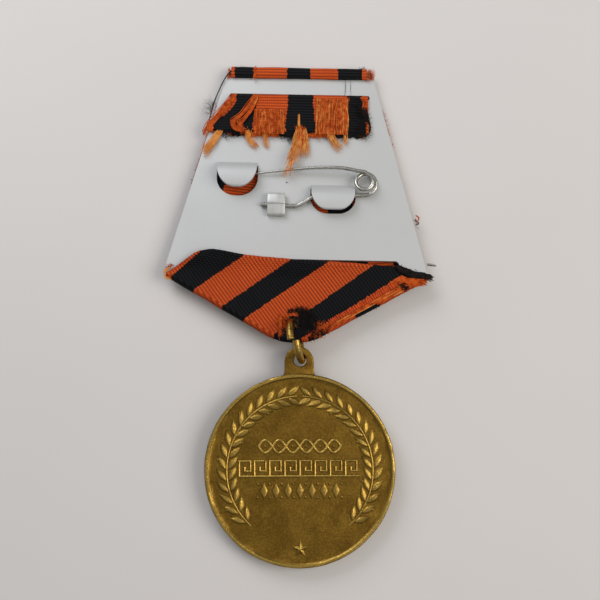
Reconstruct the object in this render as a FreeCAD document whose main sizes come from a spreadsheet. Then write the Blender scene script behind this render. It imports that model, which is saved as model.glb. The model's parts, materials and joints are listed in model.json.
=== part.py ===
import FreeCAD, Part
import math
import os
import re
import Sketcher

# A service medal hung from a pentagonal ribbon mount, lying on its face with the pin side up.
#
# Mount frame, in which the mount's own pieces are drawn: the origin is the sharp corner of the
# plate's V (the blunt tip rounds that corner off), +X across, +Y towards the top edge, and z = 0
# is the plate's front face, so the back face is at z = plate_thick.
# Medal frame: the origin is the middle of the disc, +Y towards the eye.
# Part frame: z = 0 is the table, and the origin is under the middle of the whole part.

DIMENSIONS = {
    # plate
    "plate_height": 50.9,
    "plate_top_width": 26.0,
    "plate_wide": 46.0,
    "corner_height": 12.95,
    "plate_thick": 0.8,
    "tip_round": 10.0,
    "side_round": 0.9,
    "top_round": 1.6,
    # the two ribbon slots either side of the bare bar, and the long slot above the V
    "bar_below_top": 4.75,
    "bar_width": 3.05,
    "ribbon_slot_play": 1.4,
    "ribbon_slot_width": 0.9,
    "long_slot_side": 5.0,
    "long_slot_width": 1.6,
    "long_slot_top": 15.5,
    "ring_hole_height": 4.1,
    "ring_hole_play": 0.9,
    # tongues raised from the plate over the pin; their roots are placed from the coil
    "tongue_gap": 0.15,
    "tongue_sheet": 0.6,
    "tongue_crest": 2.6,
    "left_tongue_middle": -10.75,
    "left_tongue_width": 7.3,
    "left_root_above_coil": 2.6,
    "left_window_depth": 5.5,
    "left_tongue_reach": 3.9,
    "left_tongue_room": 0.8,
    "left_tongue_round": 3.3,
    "right_tongue_middle": 6.3,
    "right_tongue_width": 8.0,
    "right_root_above_coil": -1.4,
    "right_window_depth": 4.5,
    "right_tongue_reach": 3.7,
    "right_tongue_room": 0.45,
    "right_tongue_round": 3.0,
    # ribbon
    "ribbon_width": 24.0,
    "cloth": 0.35,
    "tail_length": 7.95,
    "panel_inset": 1.9,
    "ribbon_hole_margin": 0.5,
    "panel_notch_margin": 1.2,
    "fold_side_inset": 0.6,
    # pin; its heights are placed from the coil
    "wire_radius": 0.4,
    "pin_lift": 0.08,
    "coil_x": 11.9,
    "coil_below_top": 21.1,
    "coil_radius": 1.7,
    "coil_taper": 18.0,
    "coil_turn_gap": 0.18,
    "coil_needle_gap": 0.08,
    "arm_below_coil": 2.95,
    "arm_drop": 1.6,
    "arm_straight": 6.5,
    "arm_bend_x": 2.7,
    "arm_low_bend_x": 0.1,
    "arm_end_x": -6.7,
    "needle_point_x": -9.4,
    "needle_point_above_coil": 1.4,
    "needle_bow_from_coil": 5.3,
    "needle_bow_rise": 1.1,
    "needle_taper_length": 9.0,
    "needle_point_radius": 0.08,
    "catch_middle": -3.92,
    "catch_width": 3.15,
    "catch_below_arm": 1.85,
    "catch_above_arm": 2.05,
    "catch_sheet": 0.3,
    "catch_room": 0.14,
    # ring
    "ring_radius": 3.4,
    "ring_wire_radius": 0.6,
    "ring_split_degrees": 6.0,
    "ring_turn": 12.0,
    "ring_lean": 9.0,
    # medal
    "disc_radius": 16.0,
    "disc_thick": 2.6,
    "rim_width": 0.6,
    "rim_height": 0.25,
    "edge_break": 0.3,
    "tab_side_wall": 1.1,
    "tab_end_wall": 0.9,
    "tab_thick": 1.5,
    "eye_above_disc": 2.3,
    "eye_play": 0.8,
    "star_radius": 1.6,
    "star_height": 0.25,
    "star_from_edge": 3.1,
    "face_star_radius": 9.0,
    # how the parts lie on the table
    "medal_turn": 1.5,
    "medal_tilt": 2.67,
    "eye_slack": 0.35,
    "mount_tilt": 1.75,
    "ring_table_gap": 0.01,
}

# Sizes that follow from those above.
BAR_LOW = "(plate_height - bar_below_top)"
BAR_HIGH = f"({BAR_LOW} + bar_width)"
UPPER_SLOT_TOP = f"({BAR_HIGH} + ribbon_slot_width)"
LOWER_SLOT_LOW = f"({BAR_LOW} - ribbon_slot_width)"
HALF_RIBBON = "(ribbon_width / 2)"
BACK = "plate_thick"
RING_HOLE = "(ring_wire_radius + ring_hole_play)"
RIBBON_HOLE = f"({RING_HOLE} + ribbon_hole_margin)"
EYE = "(ring_wire_radius + eye_play)"
COIL_HEIGHT = "(plate_height - coil_below_top)"
COIL_PITCH = "(2 * wire_radius + coil_turn_gap)"
ARM_HEIGHT = f"({COIL_HEIGHT} - arm_below_coil)"
LOW_ARM_HEIGHT = f"({ARM_HEIGHT} - arm_drop)"
COS_V = "((plate_wide / 2) / sqrt((plate_wide / 2) ^ 2 + corner_height ^ 2))"

doc = FreeCAD.newDocument("service_medal")
sheet = doc.addObject("Spreadsheet::Sheet", "sizes")
for row, (alias, value) in enumerate(DIMENSIONS.items(), start=1):
    sheet.set(f"A{row}", alias)
    sheet.set(f"B{row}", str(value))
    sheet.setAlias(f"B{row}", alias)
doc.recompute()


def size(expression):
    """The number that an expression of sheet names has now."""
    return float(sheet.evalExpression(str(expression)))


def bound(expression):
    """The same expression as other objects must write it."""
    names = "|".join(sorted(DIMENSIONS, key=len, reverse=True))
    return re.sub(rf"\b({names})\b", r"sizes.\1", str(expression))


def bind(thing, **sizes):
    """Bind properties to expressions; a double underscore stands for a dot."""
    for name, expression in sizes.items():
        thing.setExpression(name.replace("__", "."), bound(expression))
    return thing


# ---------------------------------------------------------------- sketch and feature helpers

def new_body(label):
    body = doc.addObject("PartDesign::Body", label)
    body.Label = label
    return body


def new_sketch(body, name, plane="XY_Plane", offset="0"):
    sketch = body.newObject("Sketcher::SketchObject", name)
    origin_plane = [item for item in body.Origin.OriginFeatures if item.Role == plane][0]
    sketch.AttachmentSupport = [(origin_plane, "")]
    sketch.MapMode = "FlatFace"
    bind(sketch, AttachmentOffset__Base__z=offset)
    return sketch


def place_point(sketch, geometry, position, across, up):
    for kind, expression in (("DistanceX", across), ("DistanceY", up)):
        number = sketch.addConstraint(
            Sketcher.Constraint(kind, -1, 1, geometry, position, size(expression)))
        sketch.setExpression(f"Constraints[{number}]", bound(expression))


def polygon(body, name, corners, plane="XY_Plane", offset="0"):
    """A closed outline whose every corner is bound to the sheet."""
    sketch = new_sketch(body, name, plane, offset)
    points = [FreeCAD.Vector(size(across), size(up), 0) for across, up in corners]
    for index, start in enumerate(points):
        end = points[(index + 1) % len(points)]
        sketch.addGeometry(Part.LineSegment(start, end))
    for index, (across, up) in enumerate(corners):
        following = (index + 1) % len(corners)
        sketch.addConstraint(Sketcher.Constraint("Coincident", index, 2, following, 1))
        place_point(sketch, index, 1, across, up)
    return sketch


def circle(body, name, across, up, radius, plane="XY_Plane", offset="0"):
    sketch = new_sketch(body, name, plane, offset)
    middle = FreeCAD.Vector(size(across), size(up), 0)
    sketch.addGeometry(Part.Circle(middle, FreeCAD.Vector(0, 0, 1), size(radius)))
    place_point(sketch, 0, 3, across, up)
    number = sketch.addConstraint(Sketcher.Constraint("Radius", 0, size(radius)))
    sketch.setExpression(f"Constraints[{number}]", bound(radius))
    return sketch


def pad(body, sketch, length, midplane=False):
    feature = body.newObject("PartDesign::Pad", f"{sketch.Name}_pad")
    feature.Profile = sketch
    feature.Midplane = midplane
    bind(feature, Length=length)
    doc.recompute()
    return feature


def pocket(body, sketch):
    """Cut the sketch through everything, both ways, and prove that it cut something."""
    before = body.Shape.Volume
    feature = body.newObject("PartDesign::Pocket", f"{sketch.Name}_cut")
    feature.Profile = sketch
    feature.Type = "ThroughAll"
    feature.Midplane = True
    doc.recompute()
    if not body.Shape.Volume < before - 1e-6:
        raise RuntimeError(f"{sketch.Name} cuts nothing")
    return feature


def fillet_uprights(body, name, spots, radius):
    """Round the edges along Z that stand at the given places."""
    tip = body.Tip
    wanted = [FreeCAD.Vector(size(across), size(up), 0) for across, up in spots]
    edges = []
    for number, edge in enumerate(tip.Shape.Edges, start=1):
        first = edge.Vertexes[0].Point
        last = edge.Vertexes[-1].Point
        upright = math.hypot(first.x - last.x, first.y - last.y) < 1e-6 and abs(first.z - last.z) > 1e-6
        if upright and any(math.hypot(first.x - at.x, first.y - at.y) < 1e-4 for at in wanted):
            edges.append(f"Edge{number}")
    if len(edges) != len(wanted):
        raise RuntimeError(f"{name} finds {len(edges)} edges of {len(wanted)}")
    feature = body.newObject("PartDesign::Fillet", name)
    feature.Base = (tip, edges)
    bind(feature, Radius=radius)
    doc.recompute()
    return feature


def part_object(kind, name, **sizes):
    return bind(doc.addObject(f"Part::{kind}", name), **sizes)


def cut(name, base, tool):
    feature = doc.addObject("Part::Cut", name)
    feature.Base = base
    feature.Tool = tool
    return feature


def fuse(name, shapes):
    feature = doc.addObject("Part::MultiFuse", name)
    feature.Shapes = shapes
    return feature


def common(name, shapes):
    feature = doc.addObject("Part::MultiCommon", name)
    feature.Shapes = shapes
    return feature


def box(name, left, low, bottom, width, depth, height):
    """A box given by its low corner and its size along X, Y and Z."""
    return part_object("Box", name, Length=width, Width=depth, Height=height,
                       Placement__Base__x=left, Placement__Base__y=low,
                       Placement__Base__z=bottom)


def tube_along(path, radius):
    """A round wire along a path of straight runs and arcs."""
    start = path.Edges[0].Vertexes[0].Point
    heading = path.Edges[0].tangentAt(path.Edges[0].FirstParameter)
    section = Part.Wire(Part.makeCircle(radius, start, heading))
    return path.makePipeShell([section], True, False)


def bent_path(points, bend_radii):
    """Straight runs through the points, with an arc of the given radius at each inner one."""
    edges = []
    start = points[0]
    for before, corner, after, radius in zip(points, points[1:], points[2:], bend_radii):
        back = (before - corner).normalize()
        ahead = (after - corner).normalize()
        half = back.getAngle(ahead) / 2
        reach = radius / math.tan(half)
        middle = corner + (back + ahead).normalize() * (radius / math.sin(half))
        entry = corner + back * reach
        leave = corner + ahead * reach
        top = middle + (corner - middle).normalize() * radius
        edges.append(Part.LineSegment(start, entry).toShape())
        edges.append(Part.Arc(entry, top, leave).toShape())
        start = leave
    edges.append(Part.LineSegment(start, points[-1]).toShape())
    return Part.Wire(edges)


# ---------------------------------------------------------------- where everything lies

def vector(x, y, z):
    return FreeCAD.Vector(size(x), size(y), size(z))


tilt = math.radians(size("mount_tilt"))
mount_rotation = FreeCAD.Rotation(FreeCAD.Vector(1, 0, 0), -size("mount_tilt"))
top_front_corner = mount_rotation.multVec(vector(0, "plate_height + cloth", "-2 * cloth"))
hole_on_mount = mount_rotation.multVec(vector(0, "ring_hole_height", "plate_thick / 2"))
mount_lift = -top_front_corner.z

# The ring's plane holds the direction from the plate's hole towards the eye, and leans.
ring_along = FreeCAD.Rotation(FreeCAD.Vector(0, 0, 1), size("ring_turn")).multVec(FreeCAD.Vector(0, -1, 0))
ring_rise = FreeCAD.Rotation(ring_along, size("ring_lean")).multVec(FreeCAD.Vector(0, 0, 1))
ring_normal = ring_along.cross(ring_rise)
ring_middle_z = size("ring_radius") * ring_rise.z + size("ring_wire_radius") + size("ring_table_gap")


def ring_spot(height, side):
    """The offset from the ring's middle to its wire at a height above the table."""
    up = (height - ring_middle_z) / ring_rise.z
    along = math.sqrt(size("ring_radius") ** 2 - up ** 2)
    return ring_along * (side * along) + ring_rise * up


hole_z = hole_on_mount.z + mount_lift
ring_from_hole = -ring_spot(hole_z, -1)

medal_rotation = FreeCAD.Rotation(FreeCAD.Vector(0, 0, 1), size("medal_turn")).multiply(
    FreeCAD.Rotation(FreeCAD.Vector(1, 0, 0), size("medal_tilt")))
disc_up = medal_rotation.multVec(FreeCAD.Vector(0, 1, 0))
disc_normal = medal_rotation.multVec(FreeCAD.Vector(0, 0, 1))
disc_z = size("disc_radius") * disc_up.z + size("disc_thick / 2") * disc_normal.z
eye_from_disc = disc_up * size("disc_radius + eye_above_disc")
eye_from_ring = ring_spot(disc_z + eye_from_disc.z, 1) - FreeCAD.Vector(size("eye_slack"), 0, 0)

# Distances along Y from the plate's hole, which set where the origin is.
disc_from_hole = ring_from_hole + eye_from_ring - eye_from_disc
top_from_hole = top_front_corner.y - hole_on_mount.y
low_from_hole = disc_from_hole.y - size("disc_radius") * math.cos(math.radians(size("medal_tilt")))
hole_y = -(top_from_hole + low_from_hole) / 2

hole_spot = FreeCAD.Vector(0, hole_y, hole_z)
ring_middle = hole_spot + ring_from_hole
disc_middle = hole_spot + disc_from_hole
disc_middle.z = disc_z
mount_place = FreeCAD.Placement(hole_spot - hole_on_mount, mount_rotation)
medal_place = FreeCAD.Placement(disc_middle, medal_rotation)
ring_place = FreeCAD.Placement(
    ring_middle, FreeCAD.Rotation(ring_rise, ring_along, ring_normal, "XYZ"))


# ---------------------------------------------------------------- mount plate

def plate_corners():
    """The plate's outline, from the sharp corner of the V anticlockwise."""
    right = [("plate_wide / 2", "corner_height"), ("plate_top_width / 2", "plate_height")]
    left = [(f"-{across}", up) for across, up in reversed(right)]
    return [("0", "0")] + right + left


def slot_corners(length, low, high):
    return [(f"-{length} / 2", low), (f"{length} / 2", low),
            (f"{length} / 2", high), (f"-{length} / 2", high)]


def tongue_corners(middle, width, root, bottom):
    return [(f"{middle} - {width} / 2", bottom), (f"{middle} + {width} / 2", bottom),
            (f"{middle} + {width} / 2", root), (f"{middle} - {width} / 2", root)]


def make_plate():
    body = new_body("plate_sheet")
    corners = plate_corners()
    pad(body, polygon(body, "plate_outline", corners), "plate_thick")
    fillet_uprights(body, "blunt_tip", [corners[0]], "tip_round")
    fillet_uprights(body, "side_corners", [corners[1], corners[4]], "side_round")
    fillet_uprights(body, "top_corners", [corners[2], corners[3]], "top_round")
    for side in ("left", "right"):
        root = f"({COIL_HEIGHT} + {side}_root_above_coil)"
        window = tongue_corners(f"{side}_tongue_middle", f"{side}_tongue_width", root,
                                f"{root} - {side}_window_depth")
        pocket(body, polygon(body, f"{side}_window", window))
        fillet_uprights(body, f"{side}_window_round", window[:2], f"{side}_tongue_round")
    slots = {
        "upper_slot": ("(ribbon_width + ribbon_slot_play)", BAR_HIGH, UPPER_SLOT_TOP),
        "lower_slot": ("(ribbon_width + ribbon_slot_play)", LOWER_SLOT_LOW, BAR_LOW),
        "long_slot": ("(plate_wide - 2 * long_slot_side)", "long_slot_top - long_slot_width",
                      "long_slot_top"),
    }
    for name, (length, low, high) in slots.items():
        outline = slot_corners(length, low, high)
        pocket(body, polygon(body, name, outline))
        fillet_uprights(body, f"{name}_ends", outline, f"0.49 * ({high} - ({low}))")
    pocket(body, circle(body, "ring_hole", "0", "ring_hole_height", RING_HOLE))
    return body


def make_tongue(side):
    """A tongue bent up from the sheet: part of a rolled strip, trimmed to a rounded outline."""
    root = f"({COIL_HEIGHT} + {side}_root_above_coil)"
    rise = f"(2 * wire_radius + {side}_tongue_room)"
    bend = f"((tongue_crest ^ 2 + {rise} ^ 2) / (2 * {rise}))"
    strip = {}
    for name, radius in (("outer", f"{bend} + tongue_sheet"), ("inner", bend)):
        strip[name] = part_object(
            "Cylinder", f"{side}_tongue_{name}_bend", Radius=radius, Height=f"{side}_tongue_width",
            Placement__Base__x=f"{side}_tongue_middle - {side}_tongue_width / 2",
            Placement__Base__y=f"{root} - tongue_crest",
            Placement__Base__z=f"{BACK} + {rise} - {bend}")
        strip[name].Placement.Rotation = FreeCAD.Rotation(FreeCAD.Vector(0, 1, 0), 90)
    rolled = cut(f"{side}_tongue_strip", strip["outer"], strip["inner"])
    trim = new_body(f"{side}_tongue_outline")
    width = f"({side}_tongue_width - 2 * tongue_gap)"
    corners = tongue_corners(f"{side}_tongue_middle", width, f"{root} + tongue_sheet",
                             f"{root} - {side}_tongue_reach")
    pad(trim, polygon(trim, f"{side}_tongue_trim", corners), "plate_thick + 5 * tongue_sheet + "
        + rise)
    fillet_uprights(trim, f"{side}_tongue_corners", corners[:2],
                    f"{side}_tongue_round - tongue_gap")
    return common(f"{side}_tongue", [rolled, trim])


def make_mount_plate():
    return fuse("mount_plate", [make_plate(), make_tongue("left"), make_tongue("right")])


# ---------------------------------------------------------------- ribbon

def make_front_panel():
    """The upright run that covers the middle of the front."""
    body = new_body("ribbon_front_panel")
    foot = f"(panel_inset + {HALF_RIBBON} * corner_height / (plate_wide / 2))"
    right = [(HALF_RIBBON, foot), (HALF_RIBBON, UPPER_SLOT_TOP)]
    left = [(f"-{across}", up) for across, up in reversed(right)]
    corners = [("0", "panel_inset")] + right + left
    pad(body, polygon(body, "panel_outline", corners, offset="-2 * cloth"), "cloth")
    pocket(body, circle(body, "panel_notch", "0", "ring_hole_height", f"{RING_HOLE} + panel_notch_margin"))
    return body


def make_wing(name, side):
    """The run under the panel that covers one half of the plate's front."""
    body = new_body(name)
    top = f"({LOWER_SLOT_LOW} - cloth)"
    rise = f"(({top} - corner_height) / (plate_height - corner_height))"
    lean = f"(plate_wide / 2 - {rise} * (plate_wide - plate_top_width) / 2)"
    corners = plate_corners()
    corners[2] = (lean, top)
    corners[3] = (f"-{lean}", top)
    pad(body, polygon(body, f"{name}_outline", corners, offset="-cloth"), "cloth")
    fillet_uprights(body, f"{name}_tip", [corners[0]], "tip_round")
    fillet_uprights(body, f"{name}_sides", [corners[1], corners[4]], "side_round")
    other_half = [("0", "-1"), ("0", "plate_height"),
                  (f"{-side} * plate_wide", "plate_height"), (f"{-side} * plate_wide", "-1")]
    pocket(body, polygon(body, f"{name}_other_half", other_half))
    pocket(body, circle(body, f"{name}_notch", "0", "ring_hole_height", RIBBON_HOLE))
    return body


def make_back_fold():
    """The two runs folded over the back of the V, with the cloth that wraps its edges."""
    body = new_body("fold_block")
    slope = "corner_height / (plate_wide / 2)"
    drop = f"(cloth / ({COS_V}))"
    side = "(plate_wide / 2 - fold_side_inset)"
    brim = "long_slot_top - long_slot_width / 2"
    outer = [("0", f"-{drop}"), (side, f"{side} * {slope} - {drop}"), (side, brim),
             (f"-{side}", brim), (f"-{side}", f"{side} * {slope} - {drop}")]
    pad(body, polygon(body, "fold_outline", outer, offset="-cloth"), "plate_thick + 3 * cloth")
    fillet_uprights(body, "fold_tip", [outer[0]], "tip_round + cloth")
    inside = new_body("fold_inside")
    pad(inside, polygon(inside, "fold_core", plate_corners(), offset="-2 * cloth"),
        "plate_thick + 2 * cloth")
    fillet_uprights(inside, "fold_core_tip", [plate_corners()[0]], "tip_round")
    pierced = part_object("Cylinder", "fold_pierced", Radius=RIBBON_HOLE,
                          Height="plate_thick + 6 * cloth", Placement__Base__y="ring_hole_height",
                          Placement__Base__z="-2 * cloth")
    sleeve = cut("fold_sleeve", body, inside)
    return cut("ribbon_back_fold", sleeve, pierced)


def make_top_wrap():
    """The cloth over the top edge, from the panel to the upper slot."""
    low = UPPER_SLOT_TOP
    outer = box("wrap_outside", f"-{HALF_RIBBON}", low, "-2 * cloth", "ribbon_width",
                f"plate_height + cloth - {low}", "plate_thick + 3 * cloth")
    inner = box("wrap_inside", f"-{HALF_RIBBON} - 1", f"{low} - 1", "-cloth", "ribbon_width + 2",
                f"plate_height - {low} + 1", "plate_thick + cloth")
    return cut("ribbon_top_wrap", outer, inner)


def make_bar_loop():
    """The cloth that goes in at one slot, round the front of the bar and out at the other."""
    lower_rise = f"{LOWER_SLOT_LOW} + cloth / 2"
    upper_rise = f"{UPPER_SLOT_TOP} - 1.5 * cloth"
    runs = {
        "under_bar": (LOWER_SLOT_LOW, "-cloth", "bar_width + 2 * ribbon_slot_width", "cloth"),
        "lower_rise": (lower_rise, "-cloth", "cloth", "plate_thick + 2 * cloth"),
        "upper_rise": (upper_rise, "-cloth", "cloth", "plate_thick + 2 * cloth"),
        "upper_turn": (upper_rise, BACK, "1.5 * cloth", "cloth"),
    }
    return fuse("ribbon_bar_loop", [
        box(f"loop_{name}", f"-{HALF_RIBBON}", low, bottom, "ribbon_width", depth, height)
        for name, (low, bottom, depth, height) in runs.items()])


def make_tail():
    """The loose end that lies on the back below the bar."""
    return box("ribbon_tail", f"-{HALF_RIBBON}", f"{BAR_LOW} - tail_length", BACK, "ribbon_width",
               "tail_length - ribbon_slot_width + cloth / 2", "cloth")


# ---------------------------------------------------------------- pin

wire = size("wire_radius")
pin_z = size(f"{BACK} + pin_lift + wire_radius")
coil_middle = vector("coil_x", COIL_HEIGHT, pin_z)


def coil_tangent(far_point, radius, side):
    """The angle where a line from far_point touches a circle about the coil's middle."""
    away = FreeCAD.Vector(far_point.x - coil_middle.x, far_point.y - coil_middle.y, 0)
    return math.atan2(away.y, away.x) + side * math.acos(radius / away.Length)


def on_coil(angle, radius, height):
    return coil_middle + FreeCAD.Vector(radius * math.cos(angle), radius * math.sin(angle), height)


arm_turn = vector("arm_bend_x + arm_straight", ARM_HEIGHT, pin_z)
arm_angle = coil_tangent(arm_turn, size("coil_radius"), 1)


def make_fixed_arm():
    """The lower wire: from the coil under the right tongue, down a step and through the catch."""
    points = [
        vector("arm_end_x", LOW_ARM_HEIGHT, pin_z),
        vector("arm_low_bend_x", LOW_ARM_HEIGHT, pin_z),
        vector("arm_bend_x", ARM_HEIGHT, pin_z),
        arm_turn,
        on_coil(arm_angle, size("coil_radius"), 0),
    ]
    arm = doc.addObject("Part::Feature", "pin_fixed_arm")
    arm.Shape = tube_along(bent_path(points, [1.2, 1.5, 4.0]), wire)
    return arm


needle_tip = vector("needle_point_x", f"{COIL_HEIGHT} + needle_point_above_coil", pin_z)
top_radius = size(f"coil_radius - 1.5 * {COIL_PITCH} * tan(coil_taper)")
needle_bow = vector("coil_x - needle_bow_from_coil", f"{COIL_HEIGHT} + coil_radius + needle_bow_rise",
                    pin_z)
needle_angle = coil_tangent(needle_bow, top_radius, -1)
coil_turns = (needle_angle - arm_angle) / (2 * math.pi) + 1
coil_end = 1 - size("coil_needle_gap") / (2 * math.pi * top_radius * coil_turns)
coil_rise = coil_turns * size(COIL_PITCH)


def make_coil():
    """One and a half turns of the wire, each turn a little tighter than the one below."""
    steps = 24
    points = []
    for step in range(int(steps * coil_turns) + 1):
        share = coil_end * step / int(steps * coil_turns)
        angle = arm_angle + share * coil_turns * 2 * math.pi
        radius = size("coil_radius") + share * (top_radius - size("coil_radius"))
        points.append(on_coil(angle, radius, share * coil_rise))
    curve = Part.BSplineCurve()
    curve.interpolate(points)
    coil = doc.addObject("Part::Feature", "pin_coil")
    coil.Shape = tube_along(Part.Wire(curve.toShape()), wire)
    return coil


def make_needle():
    """The springy wire: from the top of the coil, bowed and sloping down to its point."""
    start = on_coil(needle_angle, top_radius, coil_rise)
    length = math.hypot(start.x - needle_tip.x, start.y - needle_tip.y)
    fall = coil_rise / length

    def sloped(point):
        away = math.hypot(start.x - point.x, start.y - point.y)
        return FreeCAD.Vector(point.x, point.y, start.z - fall * away)

    tip = sloped(needle_tip)
    bow = sloped(needle_bow)
    heading = (tip - bow).normalize()
    shank = tip - heading * size("needle_taper_length")
    shaft = tube_along(bent_path([start, bow, shank], [14.0]), wire)
    point = Part.makeCone(wire, size("needle_point_radius"), size("needle_taper_length"), shank,
                          heading)
    needle = doc.addObject("Part::Feature", "pin_needle")
    needle.Shape = shaft.fuse(point).removeSplitter()
    return needle


def make_catch():
    """A folded cap of sheet over the arm's end; its rolled side faces the needle."""
    low = f"({LOW_ARM_HEIGHT} - catch_below_arm)"
    high = f"({LOW_ARM_HEIGHT} + catch_above_arm)"
    peak = "(pin_lift + 2 * wire_radius + catch_room + catch_sheet)"

    def section(inset, foot):
        """The cap's outline, moved in by an inset, with its feet at the given height."""
        return [
            (f"{low} + {inset}", foot),
            (f"{high} - catch_sheet - {inset}", foot),
            (f"{high} - {inset}", f"{BACK} + 0.45 * {peak}"),
            (f"{high} - 0.5 - {inset} / 2", f"{BACK} + 0.88 * {peak} - {inset}"),
            (LOW_ARM_HEIGHT, f"{BACK} + {peak} - {inset}"),
            (f"{low} + 0.35 + {inset}", f"{BACK} + 0.8 * {peak} - {inset}"),
        ]

    body = new_body("pin_catch")
    outside = polygon(body, "catch_outside", section("0", f"{BACK} + pin_lift"), "YZ_Plane", "catch_middle")
    pad(body, outside, "catch_width", True)
    pocket(body, polygon(body, "catch_inside", section("catch_sheet", BACK), "YZ_Plane", "catch_middle"))
    return body


# ---------------------------------------------------------------- ring

def make_ring():
    ring = part_object("Torus", "suspension_ring", Radius1="ring_radius", Radius2="ring_wire_radius",
                       Angle3="360 - ring_split_degrees")
    split = FreeCAD.Rotation(FreeCAD.Vector(0, 0, 1), size("ring_split_degrees / 2"))
    return ring, FreeCAD.Placement(FreeCAD.Vector(), split)


# ---------------------------------------------------------------- medal

def star_corners(radius, middle_up, flip=1):
    corners = []
    for index in range(10):
        reach = radius if index % 2 == 0 else f"0.42 * {radius}"
        angle = 90 + 36 * index
        corners.append((f"{reach} * cos({angle})", f"{middle_up} + {flip} * {reach} * sin({angle})"))
    return corners


def make_medal():
    body = new_body("medal")
    half = "disc_thick / 2"
    field = f"({half} - rim_height)"
    inner = "(disc_radius - rim_width)"
    upper = [(f"{inner} - rim_height", field), (inner, half),
             ("disc_radius - edge_break", half), ("disc_radius", f"{half} - edge_break")]
    lower = [(across, f"-({up})") for across, up in reversed(upper)]
    profile = polygon(body, "disc_profile", [("0", field)] + upper + lower + [("0", f"-{field}")],
                      "XZ_Plane")
    disc = body.newObject("PartDesign::Revolution", "disc")
    disc.Profile = profile
    disc.ReferenceAxis = (profile, ["V_Axis"])
    disc.Angle = 360
    doc.recompute()
    width = f"({EYE} + tab_side_wall)"
    root = "(disc_radius - rim_width)"
    top = f"(disc_radius + eye_above_disc + {EYE} + tab_end_wall)"
    tab = [(f"-{width}", root), (width, root), (width, top), (f"-{width}", top)]
    pad(body, polygon(body, "tab_outline", tab), "tab_thick", True)
    fillet_uprights(body, "tab_round", tab[2:], f"0.98 * {width}")
    pocket(body, circle(body, "eye", "0", "disc_radius + eye_above_disc", EYE))
    star = star_corners("star_radius", "(star_from_edge - disc_radius)")
    pad(body, polygon(body, "back_star", star, offset=f"{field} - rim_height"),
        "star_height + rim_height")
    front = star_corners("face_star_radius", "0")
    pad(body, polygon(body, "front_star", front, offset=f"-{field} - 0.8 * rim_height"),
        "2 * rim_height")
    return body


# ---------------------------------------------------------------- assembly and export

mount_nodes = [
    make_mount_plate(),
    make_front_panel(),
    make_wing("ribbon_left_wing", -1),
    make_wing("ribbon_right_wing", 1),
    make_back_fold(),
    make_top_wrap(),
    make_bar_loop(),
    make_tail(),
    make_fixed_arm(),
    make_coil(),
    make_catch(),
    make_needle(),
]
suspension_ring, ring_split = make_ring()
medal = make_medal()
doc.recompute()

for node in mount_nodes:
    node.Placement = mount_place.multiply(node.Placement)
    node.setExpression("Placement.Base.x", None)
    node.setExpression("Placement.Base.y", None)
    node.setExpression("Placement.Base.z", None)
suspension_ring.Placement = ring_place.multiply(ring_split)
medal.Placement = medal_place
doc.recompute()

for item in doc.Objects:
    if "Invalid" in item.State or "Error" in item.State:
        raise RuntimeError(f"{item.Label} did not compute: {item.State}")

nodes = mount_nodes + [suspension_ring, medal]
for node in nodes:
    if node.Shape.isNull() or not node.Shape.isValid():
        raise RuntimeError(f"{node.Name} has no valid shape")

os.makedirs("parts", exist_ok=True)
for node in nodes:
    node.Label = node.Name
    node.Shape.exportStep(f"parts/{node.Name}.step")
    extent = node.Shape.BoundBox
    print(f"{node.Name:20s} solids {len(node.Shape.Solids)} volume {node.Shape.Volume:9.3f} "
          f"x {extent.XMin:7.2f} {extent.XMax:7.2f} y {extent.YMin:7.2f} {extent.YMax:7.2f} "
          f"z {extent.ZMin:6.2f} {extent.ZMax:6.2f}")
for name, spot, axis in (
        ("ring hinge", hole_spot, mount_rotation.multVec(FreeCAD.Vector(0, 0, 1))),
        ("medal hinge", ring_middle, ring_normal),
        ("needle hinge", mount_place.multVec(coil_middle),
         mount_rotation.multVec(FreeCAD.Vector(0, 0, 1))),
        ("rest face", mount_place.multVec(vector(0, "plate_height / 2", "-2 * cloth")),
         mount_rotation.multVec(FreeCAD.Vector(0, 0, -1))),
        ("needle tip", mount_place.multVec(needle_tip), FreeCAD.Vector(-1, 0, 0))):
    print(f"{name:14s} at {spot.x:8.4f} {spot.y:8.4f} {spot.z:8.4f} mm, "
          f"axis {axis.x:8.5f} {axis.y:8.5f} {axis.z:8.5f}")
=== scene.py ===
"""A service medal on a ribboned pentagonal mount, lying on its face, built round its CAD frame."""

import functools
import json
import math
import random

import bpy
from mathutils import Matrix, Vector, noise


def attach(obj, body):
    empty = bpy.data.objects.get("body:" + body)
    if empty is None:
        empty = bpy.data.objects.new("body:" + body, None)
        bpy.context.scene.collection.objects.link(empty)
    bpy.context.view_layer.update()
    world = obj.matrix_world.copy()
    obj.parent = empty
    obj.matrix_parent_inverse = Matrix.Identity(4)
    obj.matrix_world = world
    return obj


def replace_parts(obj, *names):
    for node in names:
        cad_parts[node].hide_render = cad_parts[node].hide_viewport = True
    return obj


bl_info = {
    "name": "Service medal",
    "version": (1, 0, 0),
    "blender": (4, 5, 0),
    "location": "View3D > Sidebar > Medal",
    "description": "Adds a service medal with its ribboned mount, pin and ring",
    "category": "Add Mesh",
}

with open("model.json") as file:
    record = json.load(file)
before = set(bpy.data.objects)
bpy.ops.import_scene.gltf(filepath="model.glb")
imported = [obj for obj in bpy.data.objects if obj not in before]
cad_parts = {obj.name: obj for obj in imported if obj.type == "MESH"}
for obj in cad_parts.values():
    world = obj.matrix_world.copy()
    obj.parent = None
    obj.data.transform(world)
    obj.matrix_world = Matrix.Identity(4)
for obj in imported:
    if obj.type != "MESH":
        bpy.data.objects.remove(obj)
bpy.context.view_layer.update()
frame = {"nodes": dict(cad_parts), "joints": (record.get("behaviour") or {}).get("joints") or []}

MM = 0.001
TURN = 2 * math.pi

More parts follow.
